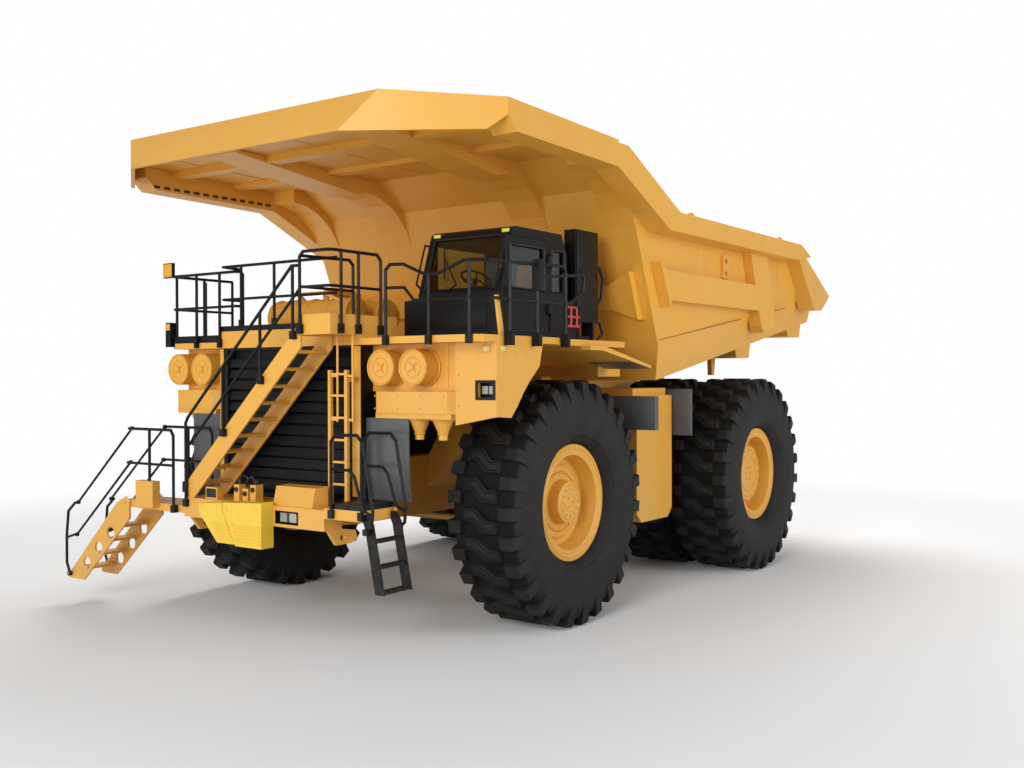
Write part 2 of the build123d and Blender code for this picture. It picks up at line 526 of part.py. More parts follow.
def build_canopy():
    (xa, ya, za), (xb, yb, zb) = LIP_BOTTOM
    (xc, yc, zc), (xd, yd, zd) = LIP_TOP
    run = (yb - ya) / (xb - xa)                         # the chamfers' direction in plan
    xc, yd = xa + (yc - ya) / run, ya + run * (xd - xa)
    y_rear, z_low, z_top = BEND_TOP[0], CANOPY_FOOT_Z, CANOPY_FOOT_Z + PLATE_T

    # top plate: level with the wall's at the rear, rising to the lip
    rear = [(-xd, y_rear, z_top), (xd, y_rear, z_top)]
    mid = [(xd, yd, zd), (-xd, yd, zd)]
    low = [(x, y, z - PLATE_T) for x, y, z in rear + mid]
    top = block(low, rear + mid)
    front = [(-xd, yd, zd), (xd, yd, zd), (xc, yc, zc), (-xc, yc, zc)]
    nose = block([(x, y, z - PLATE_T) for x, y, z in front], front)

    # lip: its front leans back, its chamfers stand upright
    t = LIP_T
    lip = block([(-xa, ya, za), (xa, ya, za), (xa - 25, ya + t, za), (-xa + 25, ya + t, za)],
                [(-xc, yc, zc), (xc, yc, zc), (xc - 25, yc + t, zc), (-xc + 25, yc + t, zc)])
    inward = Vector(-run, 1, 0).normalized() * t
    chamfer = [(xa, ya, za), (xb, yb, zb), (xd, yd, zb + 180), (xd, yd, zd), (xc, yc, zc)]
    chamfers = [Solid.extrude(flat([(s * x, y, z) for x, y, z in chamfer]), Vector(s * inward.X, inward.Y, 0))
                for s in (1, -1)]

    # box rails along both sides
    rail = [(yd, zd - 1), (y_rear, z_top - 40), (y_rear, 6660), (-2200, 6700), (yd, zb + 180)]
    rails = [prism_x(rail, s * BED_SKIN_X, s * CANOPY_X) for s in (1, -1)]

    # lengthwise beams, deep at the bend and running out at the front; cross ribs between them
    under = [(-2500, z_low + 40), (y_rear, z_low + 20), BEND_TOP, (150, BEND_TOP[1] - 60), (-2500, z_low)]
    beams = [prism_x(under, s * BEAM_X[0], s * BEAM_X[1]) for s in (1, -1)]
    ribs = []
    for y, half in ((-1750, 125), (-450, 125)):
        z = z_low - 60
        for x0, x1 in ((-BEAM_X[0], BEAM_X[0]), (BEAM_X[1], BED_SKIN_X), (-BED_SKIN_X, -BEAM_X[1])):
            ribs.append(box(x0, x1, y - half, y + half, z, z_low + 40))
    shape = fuse(top, nose, lip, chamfers, rails, beams, ribs)
    node("bed_canopy", cut(shape, NODES["bed_wall_left"], NODES["bed_wall_right"], NODES["bed_front_wall"]))


# ---------------------------------------------------------------- front: bumper, radiator, engine
def both(make):
    """The same shape on both sides: make takes the sign of x."""
    return [make(s) for s in (1, -1)]


def xbox(s, x0, x1, *rest):
    """A box whose x range is mirrored when s is -1."""
    return box(min(s * x0, s * x1), max(s * x0, s * x1), *rest)


def build_front():
    (y0, y1), (z0, z1) = BUMPER_Y, BUMPER_Z
    deck_rear = GRILLE_Y[0] - 20
    bar = box(-BUMPER_HALF, BUMPER_HALF, y0, y1, z0, z1)
    bar = cut(bar, both(lambda s: xbox(s, *LAMP_X, y0 - 10, y0 + 90, *LAMP_Z)))
    walk = box(-BUMPER_HALF, BUMPER_HALF, y1, deck_rear, z1 - 60, z1)
    # tow eyes under both ends
    hook = [(-3150, z0), (-2900, z0), (-2640, 1560), (-2600, 1450), (-2700, 1390), (-2990, 1390)]
    eyes = both(lambda s: cut(prism_x(hook, s * (BUMPER_HALF - 60), s * BUMPER_HALF),
                              rod((s * (BUMPER_HALF - 80), -2880, 1480), (s * (BUMPER_HALF + 20), -2880, 1480), TOW_R)))
    # tool box with a sloping front, lamp box and valves on the bumper
    tool = prism_x([(-3180, z1), (-3120, z1 + 260), (-2880, z1 + 270), (-2880, z1)], 400, 1150)
    lamp_box = box(-1010, -760, -3180, -3060, z1, z1 + 170)
    valves = [box(x, x + 110, -3120, -2980, z1, z1 + h) for x, h in ((-470, 230), (-290, 180), (-130, 240))]
    landing = box(BUMPER_HALF, LANDING_X, y0, deck_rear, z1 - 110, z1 + 30)
    node("bumper", bar, walk, eyes, tool, lamp_box, valves, landing)
    node("lamps", [xbox(s, x, x + 130, y0 + 30, y0 + 90, LAMP_Z[0] + 30, LAMP_Z[1] - 30)
                          for s in (1, -1) for x in (LAMP_X[0] + 70, LAMP_X[1] - 200)])
    # the landing's grid, and the short ladder that hangs from its end
    string = [(LANDING_X, 1870), (2180, 1870), (2270, 1750), (2450, 870), (2300, 870), (2130, 1700), (LANDING_X, 1760)]
    strings = [prism_y(string, *y) for y in LADDER_Y]
    rungs = [box(x - 20, x + 100, LADDER_Y[0][1], LADDER_Y[1][0], z - 40, z) for x, z in
             ((2190, 1550), (2255, 1230), (2320, 910))]
    node("left_ladder", box(1560, 2060, y0, deck_rear, z1 + 30, z1 + 100), *strings, rungs)

    # ladder and grab bars in front of the radiator, up to the stairs' platform
    rails = [box(x, x + 50, -2790, -2740, z1, 3720) for x in (1060, 1365)]
    rungs = [box(1110, 1365, -2780, -2750, z - 30, z) for z in (2190, 2490, 2790, 3090, 3390, 3680)]
    grabs = [rod((x, -2765, 3020), (x, -2765, PLATFORM_Z - 270), 16) for x in (1220, 1500)]
    ties = [box(a, b, -2775, -2755, z - 15, z + 15) for a, b in ((1110, 1225), (1415, 1505)) for z in (3050, 3640)]
    node("grille_ladder", *rails, rungs, grabs, ties, box(1365, 1415, -2740, GRILLE_Y[0], 3560, 3620))

    # wheel chocks hung on the bumper's face: outlines in (x, z)
    chocks = [[(-820, 1850), (-335, 1890), (-335, 1800), (-75, 1330), (-440, 1330), (-820, 1720)],
              [(-320, 1890), (460, 1930), (460, 1310), (-60, 1310), (-320, 1795)]]
    node("wheel_chocks", *[prism_y(c, y0 - 220, y0) for c in chocks])

    # radiator: surround, core and slats
    half, (gy0, gy1), z_foot, z_head = GRILLE_HALF, GRILLE_Y, BUMPER_Z[1], DECK_Z - DECK_T
    inner = half - POST_W
    surround = cut(box(-half, half, gy0, gy1, z_foot, z_head), box(-inner, inner, gy0 - 10, gy1 + 10, z_foot + 70, z_head - 40))
    node("radiator_surround", surround)
    core = box(-inner, inner, gy0 + 160, gy1 - 60, z_foot + 70, z_head - 40)
    node("radiator_core", core)
    slats, z = [], z_foot + 70 + 60
    while z + 120 < z_head - 40:
        slats.append(prism_x([(gy0 + 20, z), (gy0 + 50, z + 125), (gy0 + 160, z + 125), (gy0 + 160, z + 100),
                              (gy0 + 70, z + 100), (gy0 + 45, z)], -inner, inner))
        z += SLAT_PITCH
    node("grille_slats", *slats)

    # engine between and above the rails, on four feet
    e = ENGINE_SEAT
    block_low = prism_x([(-1700, 1750), (-1700, 3100), (-1500, 3300), (700, 3300), (900, 3100), (900, 1900), (500, 1700),
                         (-1500, 1700)], -RAIL_X[0] + 15, RAIL_X[0] - 15)
    feet = [box(-RAIL_X[1] + 60, RAIL_X[1] - 60, y - 90, y + 90, e, e + 120) for y in (-1200, 600)]
    node("engine_block", block_low, feet)


TOW_R = 50                    # bore of the tow eyes
LANDING_X = BUMPER_HALF + 680 # outer edge of the landing at the bumper's left end
LADDER_Y = ((-3215, -3190), (-2690, -2665))     # side plates of the ladder under it


# ---------------------------------------------------------------- fenders, air cleaners, tanks
def build_sides():
    top = DECK_Z - DECK_T
    # fender panels: a front plate with the lamp recess, and a side plate cut round the tyre
    arch = [(-2450, 3120), (-2130, 3100)] + [(-2466 * math.cos(a), TYRE_R + 2466 * math.sin(a))
                                             for a in (math.radians(t) for t in (36, 41, 46, 53))] + [(-1400, top)]
    side = [(-2450, top)] + arch
    front = [(3000, 3000), (DECK_HALF, 3120), (DECK_HALF, top), (3000, top)]
    x0, x1, z0, z1 = 3360, 3600, 3360, 3550
    plate = cut(prism_y(front, -2450, -2400), box(x0, x1, -2460, -2390, z0, z1))
    hood = cut(box(x0 - 20, x1 + 20, -2400, -2300, z0 - 20, z1 + 20), box(x0, x1, -2410, -2320, z0, z1))
    # the right deck is narrower in front, and has only a short plate under its edge
    node("fender_panels", plate, hood, prism_x(side, DECK_HALF - 50, DECK_HALF),
         box(-RIGHT_X, -RIGHT_X + 40, -1900, -1500, 3700, top))
    node("lamps", *[box(x, x + 90, -2390, -2320, z0 + 45, z1 - 45) for x in (x0 + 20, x0 + 130)])

    # air cleaners: housing, two canisters, chamfered tray with its bowls: side, end of the tray, bowls
    cleaners = []
    for s, end, bowls in ((1, 2990, (1850, 2250, 2650)), (-1, 2590, (1850, 2250))):
        cleaners.append(xbox(s, GRILLE_HALF, end if s > 0 else 2500, -2300, -1900, 3430, top))
        for x in CANISTER_X:
            cleaners.append(rod((s * x, -2580, 3750), (s * x, -2290, 3750), 240))
        tray_xy = [(1600, -2420), (1680, -2500), (end - 90, -2500), (end, -2420), (end, -1900), (1600, -1900)]
        cleaners.append(prism_z([(s * x, y) for x, y in tray_xy], 3140, 3430))
        cleaners.append(xbox(s, 1640, end - 50, -2470, -1940, 3070, 3140))
        for x in bowls:
            cleaners.append(Solid.make_cone(60, 150, 200, Plane(origin=(s * x, -2270, 2870))))
            cleaners.append(rod((s * x, -2270, 2790), (s * x, -2270, 2870), 60))
    node("air_cleaners", *cleaners)

    # grey guards between the grille and the tyres
    guard = [(-2440, 3070), (-2440, 2300), (-2400, 1950), (-2380, 1950), (-2420, 2300), (-2420, 3070)]
    node("wheel_guards", *both(lambda s: prism_x(guard, s * GRILLE_HALF, s * 2200)))

    # tanks on brackets from the frame rails
    def tank(s, x1, y0, y1, z0, z1):
        body = prism_x([(y0, z0 + 150), (y0 + 150, z0), (y1 - 150, z0), (y1, z0 + 150), (y1, z1), (y0, z1)], s * 1600, s * x1)
        arms = [xbox(s, RAIL_X[1], 1600, y, y + 140, 1900, 2200) for y in (y0 + 150, y0 + 760)]
        cap = xbox(s, 1700, x1 - 100, y0 + 40, y1 - 40, z1, z1 + 120)
        return fuse(body, arms, cap)
    node("tanks", tank(1, 3000, 2350, 3600, 1200, 3300))
    node("tanks", tank(-1, 2800, 2350, 3500, 1400, 3100))


CANISTER_X = (1830, 2390)


# ---------------------------------------------------------------- decks
def build_decks():
    top, low = DECK_Z, DECK_Z - DECK_T
    y_f, y_r, half = DECK_FRONT_Y, DECK_REAR_Y, DECK_HALF
    outline = [(GRILLE_HALF, y_f), (2050, y_f), (2050, -2800), (3560, -2800), (half, -2710), (half, -900), (3450, -800),
               (3450, y_r), (GRILLE_HALF, y_r), (GRILLE_HALF, 600), (-GRILLE_HALF, 600), (-GRILLE_HALF, y_r),
               (-3450, y_r), (-3450, -1100), (-RIGHT_X, -1500), (-RIGHT_X, y_f)]
    plate = prism_z(outline, low, top)
    # raised beam over the radiator, the stairs' platform, and posts down to the horns
    beam = box(-1400, PLATFORM_X[0], y_f, y_f + 500, top, BEAM_TOP)
    platform = fuse(box(PLATFORM_X[0], PLATFORM_X[1], y_f, -1900, top, PLATFORM_Z),
                    box(PLATFORM_X[0], PLATFORM_X[1], STAIR_Y[0] - 15, y_f, PLATFORM_Z - 270, PLATFORM_Z))
    posts = both(lambda s: xbox(s, 1360, 1550, -150, 150, 3350, low))
    arm = prism_x([(-2340, top), (-2260, top), (-2380, top + 500), (-2430, top + 500)], half - 50, half - 10)
    node("deck", plate, beam, platform, posts, arm)
    node("deck_grating", box(-1400, PLATFORM_X[0], y_f, y_f + 500, BEAM_TOP, BEAM_TOP + 80),
         box(-RIGHT_X, -GRILLE_HALF, y_f, y_f + 400, top, top + 110))

    # plates that slope down behind the decks, over the tyres, on cross beams
    z_in, z_out = low, 3790
    flap = [(-100, z_in), (300, z_in), (1720, z_out), (1720, z_out - 40), (250, z_in - 60), (-100, z_in - 60)]
    node("deck_flaps", *both(lambda s: prism_x(flap, s * 2200, s * 3600)))
    z_seat = z_in - 60 + (1450 - 250) * (z_out - 40 - z_in + 60) / (1720 - 250)
    beam = [(1450, 3620), (2150, 3620), (2150, 3740), (1720, z_out - 40), (1450, z_seat)]
    node("cross_beams", *both(lambda s: prism_x(beam, s * 1450, s * 2800)))

    # exhaust modules behind the radiator, and the cabinet between them and the platform
    node("exhaust_modules", *[fuse(rod((x0, y, z), (x1, y, z), r), box(x0 + 60, x1 - 60, y - r + 60, y + r - 60, top, z))
                              for x0, x1, y, z, r in ((-1380, 300, -1400, 4560, 260), (-1380, 300, -700, 4560, 260))])


PLATFORM_X = (980, 1530)
PLATFORM_Z = 4460
BEAM_TOP = 4310               # top of the beam over the radiator
RIGHT_X = 2440                # half width of the right deck in front of the tyre


# ---------------------------------------------------------------- cab
def build_cab():
    (x0, x1), (y0, y1), (zf, zt) = CAB_X, CAB_Y, CAB_Z
    w, floor = CAB_WALL, DECK_Z
    # side view (y, z): windscreen leans back from its foot, the rear of the roof is cut off
    outer = [(y0, floor), (y0, zf), (y0 + 300, zt - 40), (y0 + 380, zt), (y1 - 150, zt), (y1, zt - 300), (y1, floor)]
    inner = [(y0 + w, floor + w), (y0 + w, zf - 10), (y0 + 290 + w, zt - w - 40), (y0 + 400, zt - w), (y1 - 150 - w, zt - w),
             (y1 - w, zt - 300 - w / 2), (y1 - w, floor + w)]
    shell = cut(prism_x(outer, x0, x1), prism_x(inner, x0 + w, x1 - w))
    nose = box(x0 - 50, x1 + 50, y0 - 250, y0, floor, zf - 100)
    # windows: windscreen, the left door's opening, quarter windows, the right side and the rear
    lean = 300 / (zt - 40 - zf)
    (dy0, dy1), (dz0, dz1) = DOOR_Y, DOOR_Z
    doorway = box(x1 - 2 * w, x1 + 10, dy0, dy1, dz0, dz1)
    quarter = box(x1 - 2 * w, x1 + 10, dy1 + 90, y1 - 90, zf + 60, zt - 260)
    right = box(x0 - 10, x0 + 2 * w, y0 + 380, y1 - 120, zf + 60, zt - 200)
    rear = box(x0 + 200, x1 - 200, y1 - 2 * w, y1 + 10, zf + 100, zt - 400)
    front_wall = prism_x([(y0 - 10, zf + 60), (y0 + 400, zf + 60), (y0 + 400, zt - 130), (y0 - 10, zt - 130)], x0 + 110, x1 - 110)
    # hinge ears on the pillar behind the door, each pair with its pin
    hx, hy = x1 + HINGE_OUT, dy1 + 10
    ears = []
    for z in HINGE_Z:
        for dz in (-1, 1):
            z_mid = z + dz * (HINGE_H / 2 + GAP + 15)
            ears.append(box(x1 - 20, hx + 16, hy - 12, hy + 30, z_mid - 15, z_mid + 15))
        ears.append(rod((hx, hy, z - HINGE_H / 2 - 30), (hx, hy, z + HINGE_H / 2 + 30), 12))
    node("cab_shell", cut(fuse(shell, nose), doorway, quarter, right, rear, front_wall), ears)

    # glass, as thick as a laminated pane, in the middle of each wall
    g = 16
    def pane_screen():
        def y_at(z):
            return y0 + (z - zf) * lean + w / 2
        za, zb = zf + 60, zt - 130
        return prism_x([(y_at(za) - g, za), (y_at(za), za), (y_at(zb), zb), (y_at(zb) - g, zb)], x0 + 110, x1 - 110)
    node("cab_glass", pane_screen(), box(x1 - w / 2 - g, x1 - w / 2, dy1 + 90, y1 - 90, zf + 60, zt - 260),
         box(x0 + w / 2, x0 + w / 2 + g, y0 + 380, y1 - 120, zf + 60, zt - 200),
         box(x0 + 200, x1 - 200, y1 - w / 2 - g, y1 - w / 2, zf + 100, zt - 400))

    # door: a panel in its opening, with a window and two knuckles on the shell's pins
    c = GAP
    panel = box(x1 - w, x1, dy0 + c, dy1 - c, dz0 + c, dz1 - c)
    window = (dy0 + 130, dy1 - 120, zf + 60, dz1 - 130)
    panel = cut(panel, box(x1 - 2 * w, x1 + 10, *window))
    handle = fuse(box(x1, x1 + 50, dy0 + 60, dy0 + 90, zf - 150, zf - 120), box(x1, x1 + 50, dy0 + 60, dy0 + 90, zf + 20, zf + 50),
                  box(x1 + 35, x1 + 50, dy0 + 60, dy0 + 90, zf - 150, zf + 50))
    knuckles = []
    for z in HINGE_Z:
        h = HINGE_H / 2
        knuckles.append(fuse(rod((hx, hy, z - h), (hx, hy, z + h), 22), box(x1, hx, dy1 - 60, hy, z - h, z + h)))
    pins = [rod((hx, hy, z - HINGE_H), (hx, hy, z + HINGE_H), 12 + RUN) for z in HINGE_Z]
    node("cab_door", cut(fuse(panel, handle, knuckles), *pins))
    node("cab_door_glass", box(x1 - w / 2 - g, x1 - w / 2, *window))

    # seat
    xm = (x0 + x1) / 2
    node("cab_seat", box(xm - 180, xm + 180, -900, -450, floor + w, floor + w + 350),
         box(xm - 270, xm + 270, -950, -400, floor + w + 350, floor + w + 480),
         prism_x([(-480, floor + w + 480), (-400, floor + w + 480), (-300, floor + w + 1150), (-400, floor + w + 1150)],
                 xm - 250, xm + 250))

    # cabinet behind the cab, on legs
    node("side_cabinet", box(x1 - 200, x1, 540, 1200, 4450, 5850),
         [box(x1 - 200, x1, y, y + 60, floor, 4450) for y in (600, 1030)], box(x1 - 170, x1 - 30, 660, 1030, floor, 4240))


DOOR_Y = (-1290, -200)        # the doorway in the left wall
DOOR_Z = (4240, 5590)
HINGE_OUT = 35                # how far the door hinge's axis stands out of the cab's side
HINGE_Z = (4600, 5300)
HINGE_H = 130


# ---------------------------------------------------------------- stairs, ladders and rails
def build_stairs():
    ya, yb = STAIR_Y
    t = STAIR_T / 2
    # diagonal stair from the bumper to the platform
    head = PLATFORM_X[0]
    plate = [(-1350, BUMPER_Z[1]), (-1230, BUMPER_Z[1]), (head, 4020), (head, 4370), (-1350, 2140)]
    inner = DECK_FRONT_Y - t - SEAT
    plates = [prism_y(plate, y - t, y + t) for y in (ya, inner)]
    treads = []
    for i in range(1, 11):
        z = BUMPER_Z[1] + i * (PLATFORM_Z - BUMPER_Z[1]) / 11
        x = -1210 + (z - 2110) / STAIR_RUN
        treads.append(box(x - 130, min(x + 130, head), ya + t, inner - t, z - 45, z))
    node("diagonal_stair", *plates, treads)

    # landing at the head of the folding stair, with the hinge pins and the control box
    hx, hz = STAIR_HINGE
    narrow = (ya + t + GAP, yb - t - GAP)
    wide = hx + 290
    body = fuse(box(wide, -BUMPER_HALF, ya, yb, LANDING_Z - 110, LANDING_Z), box(hx - 90, wide, *narrow, LANDING_Z - 110, LANDING_Z))
    pins = [rod((hx, narrow[0], hz), (hx, ya - t - 10, hz), 30), rod((hx, narrow[1], hz), (hx, yb + t + 10, hz), 30)]
    control = box(-2440, -2030, ya - 130, ya, LANDING_Z - 60, LANDING_Z + 330)
    node("stair_landing", body, pins, control)

    # folding stair: side plates with round holes, and treads
    fx, fz = hx - LINK[0], hz - LINK[1]
    side = [(hx + 110, hz + 40), (hx + 20, hz + 100), (hx - 200, hz), (fx - 90, fz - 30), (fx - 60, fz - 80),
            (fx + 330, fz - 80), (hx + 110, hz - 230)]
    holes = [(-3240, 1215), (-3550, 950), (-3860, 680)]
    sides = []
    for y in STAIR_Y:
        p = prism_y(side, y - t, y + t)
        p = cut(p, rod((hx, y - 50, hz), (hx, y + 50, hz), 30 + RUN), *[rod((x, y - 50, z), (x, y + 50, z), 95) for x, z in holes])
        sides.append(p)
    steps = [box(x - 120, x + 130, ya + t, yb - t, z - 40, z) for x, z in
             ((hx - LINK[0] * k + 40, hz - LINK[1] * k - 40) for k in (0.27, 0.47, 0.67, 0.87))]
    out = 55                                            # the posts stand this far outside the plates
    pivots = [rod((fx, y, fz), (fx, y + s * (out + 22), fz), 15) for s, y in ((-1, ya), (1, yb))]
    node("folding_stair", *sides, steps, pivots)

    # its hand rails: top and middle rails swing with the stair, the foot posts stay upright between them
    (rx, rz), (mx, mz) = RAIL_PIVOT, MID_PIVOT
    kx, kz = rx - LINK[0], rz - LINK[1]
    jx, jz = mx - LINK[0], mz - LINK[1]
    posts, tops, mids, fixed = [], [], [], []
    for s, y in ((-1, ya), (1, yb)):
        yo = y + s * out
        post = fuse(tube([(fx, yo, fz + 30), (fx - 70, yo, fz + 170), (fx - 70, yo, jz - 20), (fx - 20, yo, kz - 150),
                          (kx, yo, kz)], RAIL_R),
                    tube([(fx - 70, yo, jz - 60), (jx, yo, jz)], RAIL_R - 2),
                    rod((fx, yo - 20, fz), (fx, yo + 20, fz), 40),
                    rod((kx, yo, kz), (kx, y - s * 25, kz), 12), rod((jx, yo, jz), (jx, y - s * 25, jz), 12))
        posts.append(cut(post, rod((fx, yo - 30, fz), (fx, yo + 30, fz), 15 + RUN)))
        for low, high, group in (((kx, kz), (rx, rz), tops), ((jx, jz), (mx, mz), mids)):
            a, b = along(low, high, 25), along(high, low, 25)
            bar = fuse(rod((a[0], y, a[1]), (b[0], y, b[1]), RAIL_R - 4), *[rod((x, y - 21, z), (x, y + 21, z), 32) for x, z in (low, high)])
            group.append(cut(bar, *[rod((x, y - 30, z), (x, y + 30, z), 12 + RUN) for x, z in (low, high)]))
    node("stair_posts", *posts)
    node("stair_top_rails", *tops)
    node("stair_mid_rails", *mids)


def bar(*points, r=RAIL_R):
    return tube(points, r)


def foot_block(x, y, z, h=130, dx=35, dy=35):
    """The plate that a post is bolted to its deck's edge with."""
    return box(x - dx, x + dx, y - dy, y + dy, z - h / 2, z + h / 2)


def build_rails():
    ya, yb = STAIR_Y
    out = 55
    mid_r = RAIL_R - 2
    (rx, rz), (mx, mz) = RAIL_PIVOT, MID_PIVOT

    # landing: top and middle rail with the folding rails' upper pins; feet on the landing's front and rear faces
    x_end = -1640
    rails = []
    for s, y in ((-1, ya), (1, yb)):
        yo = y + s * out
        top = [(rx, yo, rz), (x_end - 60, yo, rz), (x_end, yo, rz - 80), (x_end, yo, LANDING_Z - 60)]
        rails.append(fuse(tube(top, RAIL_R), bar((mx, yo, mz), (x_end, yo, mz), r=mid_r),
                          bar((-2200, yo, rz), (-2200, yo, LANDING_Z - 60 if s > 0 else LANDING_Z + 330)),
                          rod((rx, yo, rz), (rx, y - s * 25, rz), 12), rod((mx, yo, mz), (mx, y - s * 25, mz), 12),
                          box(x_end - 40, x_end + 40, min(y, yo + s * 30), max(y, yo + s * 30), LANDING_Z - 110, LANDING_Z),
                          *([box(-2240, -2160, y, yo + 30, LANDING_Z - 110, LANDING_Z)] if s > 0 else [])))
    node("handrails", *rails)

    # diagonal stair: rails beside its outer plate, on posts whose foot is on the plate
    y = ya - 55
    face = ya - STAIR_T / 2
    stair = [bar((-1355, y, BUMPER_Z[1] - 60), (-1355, y, 2960), (-1310, y, 3040), (860, y, 5110), (1000, y, 5110)),
             bar((-1355, y, 2579), (1000, y, 4789), r=mid_r),
             box(-1395, -1315, y - 30, BUMPER_Y[0], BUMPER_Z[1] - 130, BUMPER_Z[1] - 20)]
    for x, top, low in ((-540, 3775, 2790), (235, 4514, 3530), (875, 5110, 4130)):
        stair += [bar((x, y, low), (x, y, top)), box(x - 40, x + 40, y - 30, face, low, low + 110)]

    # platform at the stair's head: an outer rail on its left edge and front, and a gate rail across the stair's head
    x_out, x_in, y_front, y_back = PLATFORM_X[1] + 30, PLATFORM_X[0] + 20, ya - 45, -2225
    stair += [bar((x_out, y_back - 45, 4200), (x_out, y_back - 45, 5215), (x_out, -2345, 5290), (x_out, -3180, 5290),
                  (x_out - 65, y_front, 5290), (x_in + 65, y_front, 5290), (x_in, y_front, 5225), (x_in, y_front, 4200)),
              bar((x_out, y_back - 45, 4820), (x_out, -3180, 4820), (x_out - 65, y_front, 4820), (x_in, y_front, 4820),
                  r=mid_r),
              bar((x_in, y_front, 5240), (x_in, -2300, 5260), (x_in, y_back, 5190), (x_in, y_back, PLATFORM_Z)),
              bar((x_in, y_front, 4830), (x_in, y_back, 4830), r=mid_r),
              box(x_in - 40, x_in + 40, y_front - 35, ya - STAIR_T / 2, 4200, 4330)]
    for y in (-3040, -2710, y_back - 45):
        stair += [bar((x_out, y, 4200), (x_out, y, 5200 if y > -2400 else 5290)),
                  box(PLATFORM_X[1], x_out + 30, y - 35, y + 35, 4200, 4330)]

    # radiator's top: two rails on three posts, with a small block under each
    y, z_foot = DECK_FRONT_Y + 50, BEAM_TOP + 80
    stair += [bar((-1350, -2180, z_foot), (-1350, -2180, 5200), (-1350, -2250, 5270), (-1350, y, 5280),
                  (PLATFORM_X[0] + 20, y, 5280)),
              bar((-1350, -2180, 4790), (-1350, y, 4790), (PLATFORM_X[0] + 20, y, 4790), r=mid_r)]
    for x in (-960, -250):
        stair += [bar((x, y, z_foot), (x, y, 5280)), box(x - 30, x + 30, y - 30, y + 30, z_foot, z_foot + 90)]

    # right deck: along its front edge, then back to the wide part; mirror head and camera at the corner
    y, x_side = DECK_FRONT_Y - 25, -RIGHT_X - 25
    for z, r in ((5190, RAIL_R), (4680, mid_r)):
        stair.append(bar((-960, DECK_FRONT_Y + 50, z), (-1010, y, z), (x_side + 60, y, z), (x_side, y + 55, z),
                         (x_side, -1440, z), r=r))
    for x in (-1885, -1355):
        stair += [bar((x, y, 4070), (x, y, 5190)), foot_block(x, y - 5, 4135, dx=30, dy=30)]
    stair.append(bar((x_side, -1440, DECK_Z), (x_side, -1440, 5190)))
    for y in (-2540, -2010):
        stair += [bar((x_side, y, 4070), (x_side, y, 5190)), foot_block(x_side - 5, y, 4135, dx=30, dy=30)]
    stair += [box(x_side - 155, x_side - 35, -2640, -2520, 4100, 4480),
              box(x_side - 135, x_side + 85, -2690, -2640, 5170, 5400),
              rod((x_side, -2590, 5190), (x_side, -2665, 5300), 14)]
    node("handrails", fuse(stair), rod((-1740, -2560, DECK_Z + 110), (-1740, -2560, 5070), 14))

    # left deck: along its front edge, then back past the door; mirror on the side
    y, x_side = -2800 - 30, DECK_HALF + 65
    left = [bar((2150, y, 4040), (2150, y, 5010), (2230, y, 5080), (2450, y, 5070), (2790, y, 4930), (3030, y, 4920),
                (3440, y, 5060), (3575, y, 5060), (x_side, y + 140, 5060), (x_side, -1020, 5110), (x_side, -940, 5030),
                (x_side, -940, 4030)),
            bar((2150, y, 4780), (2470, y, 4770), (2630, y, 4600), (3575, y, 4600), (x_side, y + 140, 4600),
                (x_side, -940, 4610), r=mid_r),
            bar((x_side, -1630, 4925), (x_side, -500, 5030), (x_side, -460, 4960), (x_side, -500, 4800),
                (x_side, -800, 4640), (x_side, -940, 4610), r=mid_r),
            foot_block(2150, y - 5, 4100, dy=35), foot_block(x_side - 5, -940, 4110, h=180, dx=60),
            box(x_side - 55, x_side + 65, -1675, -1585, 4750, 5150)]
    for x, top in ((2870, 4925), (3515, 5055)):
        left += [bar((x, y, 4040), (x, y, top)), foot_block(x, y - 5, 4100)]
    for y in (-2250, -1630):
        left += [bar((x_side, y, 4030), (x_side, y, 5090)), foot_block(x_side - 5, y, 4110, h=180, dx=60)]
    node("handrails", fuse(left))

    # hand loops at the left ladder, from the landing over its end to the ladder's foot
    z0 = BUMPER_Z[1]
    for y, side, edge, low in ((ya - 55, -1, BUMPER_Y[0], z0 - 60), (-2620, 1, None, z0 + 100)):
        loop = [bar((1575, y, low), (1575, y, 2790), (1655, y, 2875), (2035, y, 2880), (2130, y, 2785), (2305, y, 1925),
                    (2280, y, 1720), (2195, y, 1655)),
                bar((1575, y, 2430), (1900, y, 2430), (1985, y, 2350), (2135, y, 1930), (2285, y, 1870), r=mid_r)]
        near = LADDER_Y[0][0] if side < 0 else LADDER_Y[1][1]
        loop.append(box(2150, 2230, min(near, y + side * 30), max(near, y + side * 30), 1615, 1695))
        if edge:
            loop += [bar((2112, y, z0 - 80), (2112, y, 2790)), box(1535, 1615, y - 30, edge, z0 - 90, z0 + 20),
                     box(2060, 2134, y - 30, edge, z0 - 90, z0 + 20)]
        node("handrails", fuse(loop))


def write_all():
    """Every piece moves by one step, so that the origin is under the middle of the box of them all."""
    boxes = [shape.bounding_box() for shape in NODES.values()]
    low = [min(getattr(b.min, k) for b in boxes) for k in "XYZ"]
    high = [max(getattr(b.max, k) for b in boxes) for k in "XYZ"]
    step = (-(low[0] + high[0]) / 2, -(low[1] + high[1]) / 2, -low[2])
    print("step", *step, "box", *[h - l for l, h in zip(low, high)])
    os.makedirs("parts", exist_ok=True)
    for name, shape in NODES.items():
        export_step(shape.moved(Location(step)), f"parts/{name}.step")


build_wheels()
build_frame()
build_knuckle()
build_rear_axle()
build_hoist()
build_bed_floor()
build_bed_front(build_bed_walls())
build_canopy()
build_front()
build_sides()
build_decks()
build_cab()
build_stairs()
build_rails()
write_all()
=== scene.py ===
"""Mining dump truck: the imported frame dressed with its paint, rubber, glass and small fittings."""

import json
import math

import bmesh
import bpy
from mathutils import Matrix, Vector


